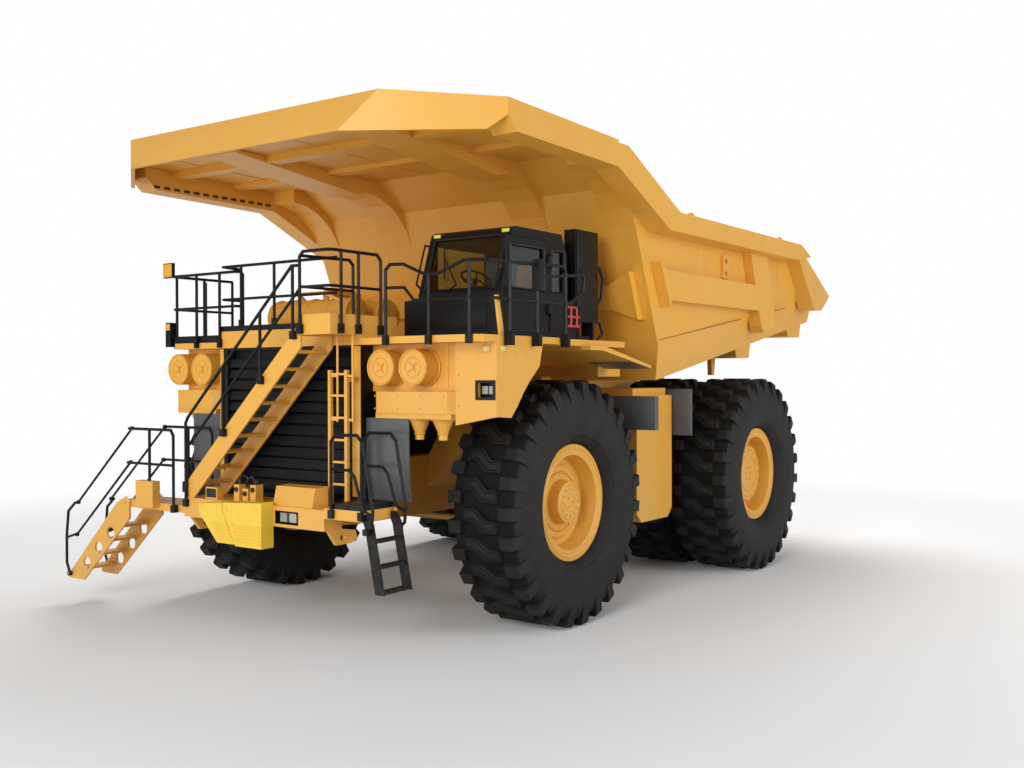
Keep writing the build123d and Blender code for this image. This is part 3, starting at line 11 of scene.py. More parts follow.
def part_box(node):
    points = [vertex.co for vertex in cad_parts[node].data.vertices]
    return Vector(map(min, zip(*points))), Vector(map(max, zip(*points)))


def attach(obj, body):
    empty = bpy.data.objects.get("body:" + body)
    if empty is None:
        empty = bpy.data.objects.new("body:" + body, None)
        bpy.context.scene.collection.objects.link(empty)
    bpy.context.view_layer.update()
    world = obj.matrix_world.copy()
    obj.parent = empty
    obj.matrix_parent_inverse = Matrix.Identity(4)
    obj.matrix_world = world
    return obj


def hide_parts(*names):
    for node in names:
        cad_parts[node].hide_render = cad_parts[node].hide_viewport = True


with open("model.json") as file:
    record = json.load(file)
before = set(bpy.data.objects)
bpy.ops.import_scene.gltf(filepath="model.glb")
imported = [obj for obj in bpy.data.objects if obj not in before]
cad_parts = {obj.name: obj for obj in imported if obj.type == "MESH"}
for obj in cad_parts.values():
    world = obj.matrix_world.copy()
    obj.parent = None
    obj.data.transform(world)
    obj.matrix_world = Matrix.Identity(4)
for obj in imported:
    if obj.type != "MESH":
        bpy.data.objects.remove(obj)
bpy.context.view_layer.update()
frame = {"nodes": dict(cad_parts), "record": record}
nodes = frame["nodes"]

# ------------------------------------------------------------------ studio
# A camera at standing height off the truck's front left corner, a plain pale floor, and soft light from large
# panels. The floor turns white in the distance, and keeps the truck's shadow near it.
AXLE_HEIGHT = 1.79         # of the wheels' centres above the ground, as the other sizes here were measured
front_axle = sum(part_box("rim_front_left"), Vector()) / 2
centre_x = sum(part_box("main_frame"), Vector()).x / 2


def at(x, y, z):
    """A point measured from the centre plane, the front axle and the ground, in metres."""
    return Vector((centre_x + x, front_axle.y + y, front_axle.z - AXLE_HEIGHT + z))


def add_node(tree, kind, inputs=None, **settings):
    """Adds a shader node with its settings; an input is either a value or another node's socket."""
    node = tree.nodes.new("ShaderNode" + kind)
    for key, value in settings.items():
        setattr(node, key, value)
    for key, value in (inputs or {}).items():
        if isinstance(value, bpy.types.NodeSocket):
            tree.links.new(value, node.inputs[key])
        else:
            node.inputs[key].default_value = value
    return node


def empty_tree(owner):
    """The shader tree of a material or a world, emptied."""
    owner.use_nodes = True
    owner.node_tree.nodes.clear()
    return owner.node_tree


def new_material(name):
    """A material with an empty shader tree, and the object coordinates that its patterns lie on."""
    material = bpy.data.materials.new(name)
    tree = empty_tree(material)
    return material, tree, add_node(tree, "TexCoord").outputs["Object"]


def linear(colour):
    """An sRGB hex colour as the linear values that a shader takes."""
    channels = [int(colour[i:i + 2], 16) / 255 for i in (1, 3, 5)]
    return (*[c / 12.92 if c <= 0.04045 else ((c + 0.055) / 1.055) ** 2.4 for c in channels], 1.0)


# the camera's turns in degrees: its heading, how far it looks below the level, and its roll
HEADING, DIP, ROLL = 35.274, 0.408, -0.162
camera = bpy.data.objects.new("camera", bpy.data.cameras.new("camera"))
camera.data.lens = 38.21
camera.data.clip_end = 500
aim = Matrix.Rotation(math.radians(HEADING), 4, "Z") @ Matrix.Rotation(math.radians(90 - DIP), 4, "X")
roll = Matrix.Rotation(math.radians(ROLL), 4, "Z")
camera.matrix_world = Matrix.Translation(at(11.637, -13.406, 3.629)) @ aim @ roll
bpy.context.scene.collection.objects.link(camera)
bpy.context.scene.camera = camera

FLOOR_MIDDLE = at(0, 3, 0)
NEAR, FAR = 9.0, 21.0      # the floor starts to turn white at the one distance and is white at the other
floor_paint, tree, place = new_material("studio_floor")
away = add_node(tree, "VectorMath", {0: place, 1: FLOOR_MIDDLE}, operation="DISTANCE").outputs["Value"]
fade = add_node(tree, "MapRange", {"Value": away, "From Min": NEAR, "From Max": FAR},
                interpolation_type="SMOOTHSTEP").outputs["Result"]
seen = add_node(tree, "LightPath").outputs["Is Camera Ray"]
to_white = add_node(tree, "Math", {0: fade, 1: seen}, operation="MULTIPLY").outputs["Value"]
matt = add_node(tree, "BsdfDiffuse", {"Color": linear("#D6D6D6"), "Roughness": 0.5}).outputs["BSDF"]
white = add_node(tree, "Emission", {"Color": (1.0, 1.0, 1.0, 1.0), "Strength": 1.0}).outputs["Emission"]
both = add_node(tree, "MixShader", {"Fac": to_white, 1: matt, 2: white}).outputs["Shader"]
add_node(tree, "OutputMaterial", {"Surface": both})

bm = bmesh.new()
bmesh.ops.create_circle(bm, cap_ends=True, segments=64, radius=200.0, matrix=Matrix.Translation(FLOOR_MIDDLE))
floor_mesh = bpy.data.meshes.new("studio_floor")
bm.to_mesh(floor_mesh)
bm.free()
floor_mesh.materials.append(floor_paint)
floor = bpy.data.objects.new("studio_floor", floor_mesh)
bpy.context.scene.collection.objects.link(floor)

# the world lights the truck softly; seen by the camera or through glass it is plain white
LIGHTING, SEEN = 0.42, 1.0
world = bpy.data.worlds.new("studio")
tree = empty_tree(world)
path = add_node(tree, "LightPath")
shown = add_node(tree, "Math", {0: path.outputs["Is Camera Ray"], 1: path.outputs["Is Transmission Ray"]},
                 operation="MAXIMUM").outputs["Value"]
level = add_node(tree, "MapRange", {"Value": shown, "To Min": LIGHTING, "To Max": SEEN}).outputs["Result"]
sky = add_node(tree, "Background", {"Color": (1.0, 1.0, 1.0, 1.0), "Strength": level}).outputs["Background"]
add_node(tree, "OutputWorld", {"Surface": sky})
bpy.context.scene.world = world
bpy.context.scene.view_settings.view_transform = "Standard"

# each panel: where it hangs, what it points at, its width and its power in watts
for name, where, target, size, power in (
        ("key_panel", (7, -21, 8), (0, -1, 4), 9.0, 2300),
        ("top_panel", (-4, 11, 19), (0, 3, 3), 12.0, 5200),
        ("side_panel", (22, 4, 7), (2, 3, 3), 10.0, 1700),
        ("low_panel", (-4, -13, 0.6), (0, -1, 7), 9.0, 560)):
    panel = bpy.data.lights.new(name, "AREA")
    panel.size = size
    panel.energy = power
    holder = bpy.data.objects.new(name, panel)
    way = at(*where) - at(*target)
    holder.matrix_world = Matrix.Translation(at(*where)) @ way.to_track_quat("Z", "Y").to_matrix().to_4x4()
    bpy.context.scene.collection.objects.link(holder)

# ------------------------------------------------------------------ paint
# The steelwork is sprayed with two-pack enamel: yellow on the structure, black on the cab, the rails and the
# gratings, grey on the wheel guards. It is satin, with a faint cloudiness and orange peel, and dust low down.


def enamel(name, colour, shade, roughness, dust=0.35, ior=1.5, coat=0.15):
    """Sprayed enamel on steel: clouds 0.6 m across, peel 20 mm across, and dust that thins out 2.5 m up.

    The two colours are the clouds' tones, and dust is how much of the paint it hides where it lies thickest.
    """
    material, tree, place = new_material(name)
    cloud = add_node(tree, "TexNoise", {"Vector": place, "Scale": 1.6, "Detail": 4.0}).outputs["Fac"]
    tone = add_node(tree, "MixRGB", {"Fac": cloud, "Color1": linear(colour), "Color2": linear(shade)})
    height = add_node(tree, "SeparateXYZ", {"Vector": place}).outputs["Z"]
    low = add_node(tree, "MapRange", {"Value": height, "From Min": 2.5, "From Max": 0.3}).outputs["Result"]
    specks = add_node(tree, "TexNoise", {"Vector": place, "Scale": 9.0, "Detail": 6.0, "Roughness": 0.65})
    spread = add_node(tree, "MapRange", {"Value": specks.outputs["Fac"], "From Min": 0.42, "From Max": 0.75})
    veil = add_node(tree, "Math", {0: low, 1: spread.outputs["Result"]}, operation="MULTIPLY")
    veil = add_node(tree, "Math", {0: veil.outputs["Value"], 1: dust}, operation="MULTIPLY").outputs["Value"]
    dusty = add_node(tree, "MixRGB", {
        "Fac": veil, "Color1": tone.outputs["Color"], "Color2": linear("#A39C8C")})
    rough = add_node(tree, "MapRange", {
        "Value": cloud, "To Min": roughness - 0.05, "To Max": roughness + 0.07})
    peel = add_node(tree, "TexNoise", {"Vector": place, "Scale": 50.0, "Detail": 2.0}).outputs["Fac"]
    dents = add_node(tree, "Bump", {"Height": peel, "Strength": 0.12, "Distance": 0.002})
    shader = add_node(tree, "BsdfPrincipled", {
        "Base Color": dusty.outputs["Color"], "Roughness": rough.outputs["Result"], "IOR": ior,
        "Coat Weight": coat, "Coat Roughness": 0.3, "Normal": dents.outputs["Normal"]})
    add_node(tree, "OutputMaterial", {"Surface": shader.outputs["BSDF"]})
    return material


yellow = enamel("yellow_enamel", "#E6AC44", "#DFA33B", 0.4)
black = enamel("black_enamel", "#131415", "#0F1011", 0.42, dust=0.15, ior=1.3, coat=0.03)
grey = enamel("grey_enamel", "#55575A", "#4E5053", 0.45)
slot_paint = {"yellow_paint": yellow, "black_paint": black, "grey_paint": grey}


def wear(node, material):
    """Puts one material on a node of the frame."""
    slots = nodes[node].data.materials
    slots.clear()
    slots.append(material)


for part in frame["record"]["subparts"]:
    if part["material_slot"] in slot_paint:
        wear(part["node"], slot_paint[part["material_slot"]])

# ------------------------------------------------------------------ hoists
# The inner stages and rods that lift the bed are ground and hard-chromed steel: bright, with faint rings from
# grinding. They slide in the painted barrels, and their eyes turn on pins under the bed.
chrome, tree, place = new_material("hard_chrome")
rings = add_node(tree, "TexWave", {"Vector": place, "Scale": 60.0, "Distortion": 1.0}, bands_direction="Z")
polish = add_node(tree, "MapRange", {"Value": rings.outputs["Fac"], "To Min": 0.12, "To Max": 0.2})
shader = add_node(tree, "BsdfPrincipled", {
    "Base Color": linear("#C9CBCE"), "Metallic": 1.0, "Roughness": polish.outputs["Result"]})
add_node(tree, "OutputMaterial", {"Surface": shader.outputs["BSDF"]})
for side in ("left", "right"):
    wear(f"hoist_stage_{side}", chrome)
    wear(f"hoist_rod_{side}", chrome)

# ------------------------------------------------------------------ tyres
# Off-the-road tyres of moulded rubber: a round case with deep lugs across the tread and down the shoulders.
# Each is 3.57 m over its lugs and sits on its rim's beads; the rear ones run in pairs.
TREAD_R = 1.7858           # over the lugs
CASE_R = 1.685             # of the case between them
GROOVE_R = 1.625           # out from here the case shows between the lugs
LUG_COUNT = 27
# how far each axle's tyres stand out from the centre plane, and the names of the nodes that they stand in for
TYRE_X = {"front": (2.84,), "rear": (3.2, 1.763)}
TYRE_NODE = {"front": "tyre_front", "rear": "tyre_rear_pair"}

rubber, tree, place = new_material("moulded_rubber")
mottle = add_node(tree, "TexNoise", {
    "Vector": place, "Scale": 3.5, "Detail": 6.0, "Roughness": 0.6}).outputs["Fac"]
grain = add_node(tree, "TexNoise", {"Vector": place, "Scale": 70.0, "Detail": 4.0}).outputs["Fac"]
bloom = add_node(tree, "MapRange", {"Value": mottle, "From Min": 0.4, "From Max": 0.75}).outputs["Result"]
tone = add_node(tree, "MixRGB", {"Fac": bloom, "Color1": linear("#1B1B1B"), "Color2": linear("#282826")})
skin = add_node(tree, "Bump", {"Height": grain, "Strength": 0.3, "Distance": 0.004})
rough = add_node(tree, "MapRange", {"Value": mottle, "To Min": 0.58, "To Max": 0.78})
shader = add_node(tree, "BsdfPrincipled", {
    "Base Color": tone.outputs["Color"], "Roughness": rough.outputs["Result"], "IOR": 1.36,
    "Normal": skin.outputs["Normal"]})
add_node(tree, "OutputMaterial", {"Surface": shader.outputs["BSDF"]})
# between the lugs and in the lugs' grooves the rubber is duller, and darker as painted shade
groove_shade_rubber, tree, place = new_material("groove_painted_shade_rubber")
film = add_node(tree, "TexNoise", {"Vector": place, "Scale": 8.0, "Detail": 4.0}).outputs["Fac"]
tone = add_node(tree, "MixRGB", {"Fac": film, "Color1": linear("#0B0B0B"), "Color2": linear("#121211")})
shader = add_node(tree, "BsdfPrincipled", {"Base Color": tone.outputs["Color"], "Roughness": 0.9, "IOR": 1.4})
add_node(tree, "OutputMaterial", {"Surface": shader.outputs["BSDF"]})


def finish(bm, name, material, body, smooth=None):
    """Makes one piece from its mesh: outward faces, its material, its body, and smooth shading over the edges
    that bend less than the angle given, in degrees."""
    bmesh.ops.recalc_face_normals(bm, faces=bm.faces)
    if smooth is not None:
        for face in bm.faces:
            face.smooth = True
        for edge in bm.edges:
            edge.smooth = len(edge.link_faces) == 2 and edge.calc_face_angle() < math.radians(smooth)
    mesh = bpy.data.meshes.new(name)
    bm.to_mesh(mesh)
    bm.free()
    mesh.materials.append(material)
    piece = bpy.data.objects.new(name, mesh)
    bpy.context.scene.collection.objects.link(piece)
    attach(piece, body)
    return piece


def add_case(bm, centre):
    """The tyre's case: its outline from bead to bead, spun about the axle."""
    # across and radius, from the bead over the sidewall's rings to the shoulder and the tread's middle
    half = ((0.345, 0.737), (0.358, 0.76), (0.36, 0.862), (0.385, 0.876), (0.44, 0.905), (0.498, 0.965),
            (0.512, 0.985), (0.521, 0.99), (0.53, 1.02), (0.553, 1.1), (0.568, 1.2), (0.574, 1.3),
            (0.571, 1.4), (0.562, 1.48), (0.55, 1.54), (0.53, 1.6), (0.505, 1.65), (0.47, 1.675),
            (0.4, CASE_R), (0.15, CASE_R + 0.004))
    outline = list(half) + [(-x, r) for x, r in reversed(half)]
    points = [bm.verts.new(centre + Vector((x, 0, r))) for x, r in outline]
    edges = [bm.edges.new(pair) for pair in zip(points, points[1:] + points[:1])]
    before = set(bm.faces)
    bmesh.ops.spin(bm, geom=points + edges, cent=centre, axis=(1, 0, 0), angle=math.tau, steps=96,
                   use_merge=True)
    for face in set(bm.faces) - before:
        middle = face.calc_center_median() - centre
        # faces of the case out past GROOVE_R take the second slot, with painted shade between the lugs
        face.material_index = int(math.hypot(middle.y, middle.z) > GROOVE_R)


def extruded(bm, outline, place, move):
    """One flat face from an outline, extruded along a move; returns the moved face's corners."""
    face = bm.faces.new([bm.verts.new(place(*point)) for point in outline])
    fresh = bmesh.ops.extrude_face_region(bm, geom=[face])["geom"]
    corners = [v for v in fresh if isinstance(v, bmesh.types.BMVert)]
    bmesh.ops.translate(bm, verts=corners, vec=move)
    return corners


def add_lugs(bm, centre, hand):
    """The lugs of one pitch, turned round the tyre: a Z-shaped block with a groove, and a bar per shoulder.

    They are drawn flat, across and along the tread, rooted in the case, and then wrapped round the axle.
    """
    root = CASE_R - 0.03
    block = ((-0.285, 0.175), (-0.05, 0.175), (0.13, 0.01), (0.285, 0.01), (0.285, -0.175), (0.05, -0.175),
             (-0.13, -0.01), (-0.285, -0.01))
    top = extruded(bm, block, lambda x, t: (x, hand * t, root), (0, 0, TREAD_R - root))
    bmesh.ops.recalc_face_normals(bm, faces=bm.faces)
    bmesh.ops.scale(bm, verts=top, vec=(0.95, 0.93, 1))
    face = next(f for f in bm.faces if set(f.verts) == set(top))
    # a groove 14 mm deep, set in from the block's edge, with an island in its middle
    bmesh.ops.inset_individual(bm, faces=[face], thickness=0.03)
    groove = bmesh.ops.inset_individual(bm, faces=[face], thickness=0.012, depth=-0.014)["faces"]
    groove += bmesh.ops.inset_individual(bm, faces=[face], thickness=0.012, depth=0.014)["faces"]
    # the groove's faces take the second slot, with painted shade
    for made in groove:
        made.material_index = 1
    # a shoulder bar's outline, across and in radius: over the tread's edge, then thinning down the sidewall
    bar_length = 0.18
    bar = ((0.3, root), (0.315, TREAD_R - 0.012), (0.5, TREAD_R - 0.004), (0.535, TREAD_R - 0.03),
           (0.553, 1.68), (0.569, 1.56), (0.571, 1.47), (0.545, 1.5), (0.5, 1.6))
    for s in (1, -1):
        t = -s * 0.095 + s * TREAD_R * math.pi / LUG_COUNT
        outline = [(s * x, t - bar_length / 2, r) for x, r in bar]
        extruded(bm, outline, lambda x, t, r: (x, hand * t, r), (0, bar_length * hand, 0))
    # only edges that are sharp (in radians) and long (in metres) are rounded
    corners = [e for e in bm.edges if e.calc_face_angle(0) > 0.9 and e.calc_length() > 0.03]
    bmesh.ops.bevel(bm, geom=corners, offset=0.008, segments=1, profile=0.5, affect="EDGES", material=-1)
    for vert in bm.verts:
        turned = Matrix.Rotation(-vert.co.y / TREAD_R, 3, "X") @ Vector((vert.co.x, 0, vert.co.z))
        vert.co = centre + turned
    more = LUG_COUNT - 1
    bmesh.ops.spin(bm, geom=bm.verts[:] + bm.edges[:] + bm.faces[:], cent=centre, axis=(1, 0, 0),
                   angle=math.tau * more / LUG_COUNT, steps=more, use_duplicate=True)


def add_tyre(bm, centre, hand):
    """One tyre, made by itself and then added to the others of its piece."""
    tyre = bmesh.new()
    add_lugs(tyre, Vector(), hand)
    add_case(tyre, Vector())
    bmesh.ops.recalc_face_normals(tyre, faces=tyre.faces)
    bmesh.ops.translate(tyre, verts=tyre.verts, vec=centre)
    mesh = bpy.data.meshes.new("tyre")
    tyre.to_mesh(mesh)
    tyre.free()
    bm.from_mesh(mesh)
    bpy.data.meshes.remove(mesh)


for side, hand in (("left", 1), ("right", -1)):
    for axle, xs in TYRE_X.items():
        node = f"{TYRE_NODE[axle]}_{side}"
        middle = sum(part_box(node), Vector()) / 2
        bm = bmesh.new()
        for x in xs:
            add_tyre(bm, Vector((centre_x + hand * x, middle.y, front_axle.z)), hand)
        tyres = finish(bm, f"rubber_{axle}_{side}", rubber, f"wheel_{axle}_{side}", smooth=38)
        # the second slot: rubber darkened as painted shade for the grooves and between the lugs
        tyres.data.materials.append(groove_shade_rubber)
        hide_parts(node)

# ------------------------------------------------------------------ glass
# The windscreen and the side panes are laminated glass with a grey-green tint, clean but for a thin haze.
# They are bonded into the cab's walls and its door.
glass, tree, place = new_material("tinted_laminated_glass")
film = add_node(tree, "TexNoise", {"Vector": place, "Scale": 2.0, "Detail": 3.0}).outputs["Fac"]
haze = add_node(tree, "MapRange", {"Value": film, "To Min": 0.0, "To Max": 0.015}).outputs["Result"]
shader = add_node(tree, "BsdfPrincipled", {
    "Base Color": linear("#C4CECC"), "Roughness": haze, "IOR": 1.45, "Transmission Weight": 1.0})
add_node(tree, "OutputMaterial", {"Surface": shader.outputs["BSDF"]})
wear("cab_glass", glass)
wear("cab_door_glass", glass)

# ------------------------------------------------------------------ lamps
# The headlamps in the bumper and the fenders have moulded plastic lenses with upright flutes 13 mm apart, and
# are screwed into recesses in the steel.
lens, tree, place = new_material("ribbed_lamp_lens")
flutes = add_node(tree, "TexWave", {"Vector": place, "Scale": 25.0}, bands_direction="X").outputs["Fac"]
ribs = add_node(tree, "Bump", {"Height": flutes, "Strength": 0.4, "Distance": 0.003})
shader = add_node(tree, "BsdfPrincipled", {
    "Base Color": linear("#8D9088"), "Roughness": 0.08, "IOR": 1.55, "Coat Weight": 0.6,
    "Normal": ribs.outputs["Normal"]})
add_node(tree, "OutputMaterial", {"Surface": shader.outputs["BSDF"]})
wear("lamps", lens)

# ------------------------------------------------------------------ wheel chocks
# The two wheel chocks are wedges of moulded urethane in a bright warning yellow, a little scuffed. They hang
# on the bumper's front.
chock, tree, place = new_material("moulded_urethane")
scuff = add_node(tree, "TexNoise", {"Vector": place, "Scale": 12.0, "Detail": 5.0}).outputs["Fac"]
tone = add_node(tree, "MixRGB", {"Fac": scuff, "Color1": linear("#F3CF45"), "Color2": linear("#E6BE38")})
shader = add_node(tree, "BsdfPrincipled", {"Base Color": tone.outputs["Color"], "Roughness": 0.5, "IOR": 1.5})
add_node(tree, "OutputMaterial", {"Surface": shader.outputs["BSDF"]})
wear("wheel_chocks", chock)

# ------------------------------------------------------------------ seat
# The driver's seat is foam covered in a coarse grey cloth, with threads 3 mm apart. It stands on the cab's
# floor and shows through the glass.
cloth, tree, place = new_material("woven_seat_cloth")
weave = add_node(tree, "TexWave", {"Vector": place, "Scale": 120.0}).outputs["Fac"]
tone = add_node(tree, "MixRGB", {"Fac": weave, "Color1": linear("#5A5E62"), "Color2": linear("#74797C")})
shader = add_node(tree, "BsdfPrincipled", {"Base Color": tone.outputs["Color"], "Roughness": 0.9})
add_node(tree, "OutputMaterial", {"Surface": shader.outputs["BSDF"]})
wear("cab_seat", cloth)

# ------------------------------------------------------------------ wheel fittings
# Studs and nuts hold each rim's disc, a ring of bolts holds the hub's cap, and split rings lock the beads of
# the tyre. All are steel, painted with the rim.


def add_rod(bm, start, end, radius, sides=12):
    """A round bar between two points."""
    way = end - start
    turn = way.to_track_quat("Z", "Y").to_matrix().to_4x4()
    bmesh.ops.create_cone(bm, cap_ends=True, segments=sides, radius1=radius, radius2=radius, depth=way.length,
                          matrix=Matrix.Translation((start + end) / 2) @ turn)


def add_ring(bm, centre, axis, radius, thick, steps=48):
    """A ring of round bar about an axis."""
    spin_axis = axis.normalized()
    side = spin_axis.orthogonal().normalized()
    turn = Matrix((side, spin_axis, side.cross(spin_axis))).transposed().to_4x4()
    made = bmesh.ops.create_circle(bm, cap_ends=False, segments=8, radius=thick,
                                   matrix=Matrix.Translation(centre + side * radius) @ turn)
    edges = list({e for v in made["verts"] for e in v.link_edges})
    bmesh.ops.spin(bm, geom=made["verts"] + edges, cent=centre, axis=spin_axis, angle=math.tau, steps=steps,
                   use_merge=True)


# each row of nuts: which wheel, distance out from the tyre's centre, radius of the row, count, nut's radius
NUTS = (("front", 0.155, 0.43, 40, 0.019), ("front", 0.342, 0.2, 12, 0.014),
        ("front", 0.342, 0.075, 3, 0.014),
        ("rear", 0.108, 0.595, 40, 0.019), ("rear", 0.226, 0.44, 20, 0.014), ("rear", 0.23, 0.12, 6, 0.014))
# each ring: which wheel, distance out, radius, thickness of the bar
RINGS = (("front", 0.385, 0.835, 0.009), ("front", 0.387, 0.79, 0.011), ("front", 0.375, 0.74, 0.01),
         ("front", 0.366, 0.7, 0.009), ("front", 0.342, 0.245, 0.012), ("front", 0.345, 0.13, 0.007),
         ("rear", 0.385, 0.835, 0.009), ("rear", 0.387, 0.79, 0.011), ("rear", 0.375, 0.74, 0.01),
         ("rear", 0.366, 0.7, 0.009), ("rear", 0.225, 0.505, 0.012), ("rear", 0.231, 0.33, 0.008))
for side, hand in (("left", 1), ("right", -1)):
    for axle, xs in TYRE_X.items():
        box_middle = sum(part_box(f"{TYRE_NODE[axle]}_{side}"), Vector()) / 2
        middle = Vector((centre_x + hand * xs[0], box_middle.y, front_axle.z))
        out = Vector((hand, 0, 0))
        bm = bmesh.new()
        for where, u, radius, count, size in NUTS:
            for i in range(count if where == axle else 0):
                turn = math.tau * i / count
                foot = middle + Vector((hand * u, radius * math.cos(turn), radius * math.sin(turn)))
                add_rod(bm, foot, foot + out * size * 1.3, size, sides=6)
        for where, u, radius, thick in RINGS:
            if where == axle:
                add_ring(bm, middle + out * u, out, radius, thick)
        finish(bm, f"wheel_nuts_{axle}_{side}", yellow, f"wheel_{axle}_{side}", smooth=40)

# ------------------------------------------------------------------ cab trim
# Rubber seals round the panes, the wiper, a grab bar on each side of the windscreen, the louvre behind the
# door, and the covers of the cab and of the cabinet. All are black; the seals are bonded on and the rest is
# bolted.
black_rubber = enamel("black_rubber_trim", "#101112", "#0C0C0D", 0.6, dust=0.0)


def add_block(bm, low, high, edge=0.0):
    """A box between two corners, with its edges rounded where an edge width is given."""
    low, high = Vector(low), Vector(high)
    stretch = Matrix.Diagonal((*(high - low), 1))
    made = bmesh.ops.create_cube(bm, size=1, matrix=Matrix.Translation(at(*((low + high) / 2))) @ stretch)
    if edge:
        edges = list({e for v in made["verts"] for e in v.link_edges})
        bmesh.ops.bevel(bm, geom=edges, offset=edge, segments=2, profile=0.5, affect="EDGES", material=-1)


def add_path(bm, points, radius, sides=10):
    """A bent pipe: straight lengths with a ball at every bend."""
    points = [at(*p) for p in points]
    for start, end in zip(points, points[1:]):
        add_rod(bm, start, end, radius, sides)
    for bend in points[1:-1]:
        bmesh.ops.create_uvsphere(bm, u_segments=sides, v_segments=6, radius=radius,
                                  matrix=Matrix.Translation(bend))


def screen(x, z, out=0.0):
    """A point on the windscreen's outer face, which leans back as it rises, or out in front of it."""
    return (x, -1.4 + 0.341 * (z - 4.8) - out * 0.946, z + out * 0.323)


SIDE_X = 2.95              # the outer face of the cab's left side
SEAL_X = 2.952
SILL, HEAD = 4.855, 5.465  # the side panes' lower and upper edges
bm = bmesh.new()
seals = [[screen(1.6, 4.85), screen(2.85, 4.85), screen(2.85, 5.6), screen(1.6, 5.6)]]
for front, back in ((-1.165, -0.315), (-0.115, 0.215)):
    seals.append([(SEAL_X, front, SILL), (SEAL_X, back, SILL), (SEAL_X, back, HEAD), (SEAL_X, front, HEAD)])
for corners in seals:
    add_path(bm, corners + corners[:2], 0.016, sides=8)
finish(bm, "window_seals", black_rubber, "chassis", smooth=50)

# the wiper's arm and its blade
bm = bmesh.new()
add_path(bm, [screen(2.05, 4.82, 0.03), screen(2.2, 4.9, 0.05), screen(1.86, 5.32, 0.035)], 0.012)
add_path(bm, [screen(1.95, 4.98, 0.02), screen(1.8, 5.5, 0.02)], 0.01)
# the grab bars: where each stands across, how far it is from the screen, and its radius
for x, out, radius in ((1.5, 0.09, 0.014), (2.92, 0.07, 0.012)):
    add_path(bm, [screen(x, 4.9), screen(x, 4.92, out), screen(x, 5.5, out), screen(x, 5.52)], radius)
# the louvre's slats and its frame, then the cabinet's door with its handle
for z in [4.3 + 0.045 * i for i in range(8)]:
    add_block(bm, (SIDE_X, -0.165, z), (SIDE_X + 0.02, 0.145, z + 0.02))
add_block(bm, (SIDE_X, -0.185, 4.27), (SIDE_X + 0.012, 0.165, 4.68))
add_block(bm, (SIDE_X, 0.57, 4.62), (SIDE_X + 0.015, 1.17, 5.8), 0.006)
add_block(bm, (SIDE_X, 0.62, 5.2), (SIDE_X + 0.035, 1.05, 5.24), 0.004)
# the cover and the ledge below the windscreen, and the plate behind the refill couplings
add_block(bm, (1.55, -1.661, 4.28), (2.9, -1.65, 4.62), 0.004)
add_block(bm, (1.47, -1.6, 4.7), (2.98, -1.42, 4.712), 0.004)
add_block(bm, (2.92, 0.3, 4.16), (2.94, 0.66, 4.75))
finish(bm, "cab_fittings", black, "chassis", smooth=40)

# ------------------------------------------------------------------ cabinet pipes
# Two black rubber hoses bend out of the back of the cabinet: one goes back into it lower down, and the other
# goes to the deck. Their ends are clamped on stubs.
PIPE_X = 2.85
upper = ((1.2, 5.35), (1.42, 5.33), (1.52, 5.15), (1.46, 4.85), (1.3, 4.72), (1.2, 4.7))
lower = ((1.2, 4.5), (1.42, 4.46), (1.5, 4.3), (1.3, 4.17))
bm = bmesh.new()
for radius, bends in ((0.026, upper), (0.024, lower)):
    add_path(bm, [(PIPE_X, y, z) for y, z in bends], radius)
finish(bm, "cabinet_pipes", black_rubber, "chassis", smooth=60)

# ------------------------------------------------------------------ refill couplings
# Red-enamelled couplings for oil and coolant on the plate between the cab and the cabinet: three bars, joined
# by short links, bolted on.
red = enamel("red_enamel", "#C2302A", "#B52A25", 0.35, dust=0.0)
bm = bmesh.new()
for z in (4.36, 4.5, 4.64):
    add_block(bm, (2.94, 0.31, z), (2.965, 0.65, z + 0.035), 0.006)
for z in (4.36, 4.5):
    for y in (0.4, 0.56):
        add_rod(bm, at(2.955, y, z), at(2.955, y, z + 0.14), 0.02)
finish(bm, "refill_couplings", red, "chassis", smooth=40)

# ------------------------------------------------------------------ inside the cab
# The dashboard stands below the windscreen, and the steering column and its wheel rise behind it. They are
# moulded in dull black plastic.
moulding = enamel("moulded_dash_plastic", "#222326", "#1D1E20", 0.7, dust=0.0)
bm = bmesh.new()
# the dashboard and the column
add_block(bm, (1.62, -1.33, 4.24), (2.83, -1.12, 4.86), 0.03)
add_rod(bm, at(2.22, -1.14, 4.7), at(2.22, -0.98, 5.0), 0.04)
hub = at(2.22, -0.97, 5.02)
rim_axis = Vector((0, 0.16, 0.3)).normalized()
RIM_R = 0.22
add_ring(bm, hub, rim_axis, RIM_R, 0.016, steps=32)
for turn in (0.3, 2.4, 4.5):
    spoke = Matrix.Rotation(turn, 3, rim_axis) @ rim_axis.orthogonal().normalized() * RIM_R
    add_rod(bm, hub, hub + spoke, 0.012, sides=8)
finish(bm, "dashboard", moulding, "chassis", smooth=40)

# ------------------------------------------------------------------ air cleaner faces
# Each canister's end is a spun steel cover with two beads, held by a wing nut; clamps carry the dust bowls.
# The panels round them have folded seams and rows of bolts. All are steel, in the yellow paint.
CANISTER_Z = 3.75
toward = Vector((0, -1, 0))
upward = Vector((0, 0, 1))
bm = bmesh.new()
for x in (1.83, 2.39, -1.83, -2.39):
    add_ring(bm, at(x, -2.582, CANISTER_Z), toward, 0.222, 0.014)
    add_ring(bm, at(x, -2.582, CANISTER_Z), toward, 0.13, 0.007)
    add_rod(bm, at(x, -2.58, CANISTER_Z), at(x, -2.605, CANISTER_Z), 0.035)
    for turn in (0.7, 2.27):
        reach = Vector((math.cos(turn), 0, math.sin(turn))) * 0.085
        add_rod(bm, at(x, -2.588, CANISTER_Z) - reach, at(x, -2.588, CANISTER_Z) + reach, 0.009, sides=8)
    add_ring(bm, at(x, -2.32, CANISTER_Z), toward, 0.246, 0.012)
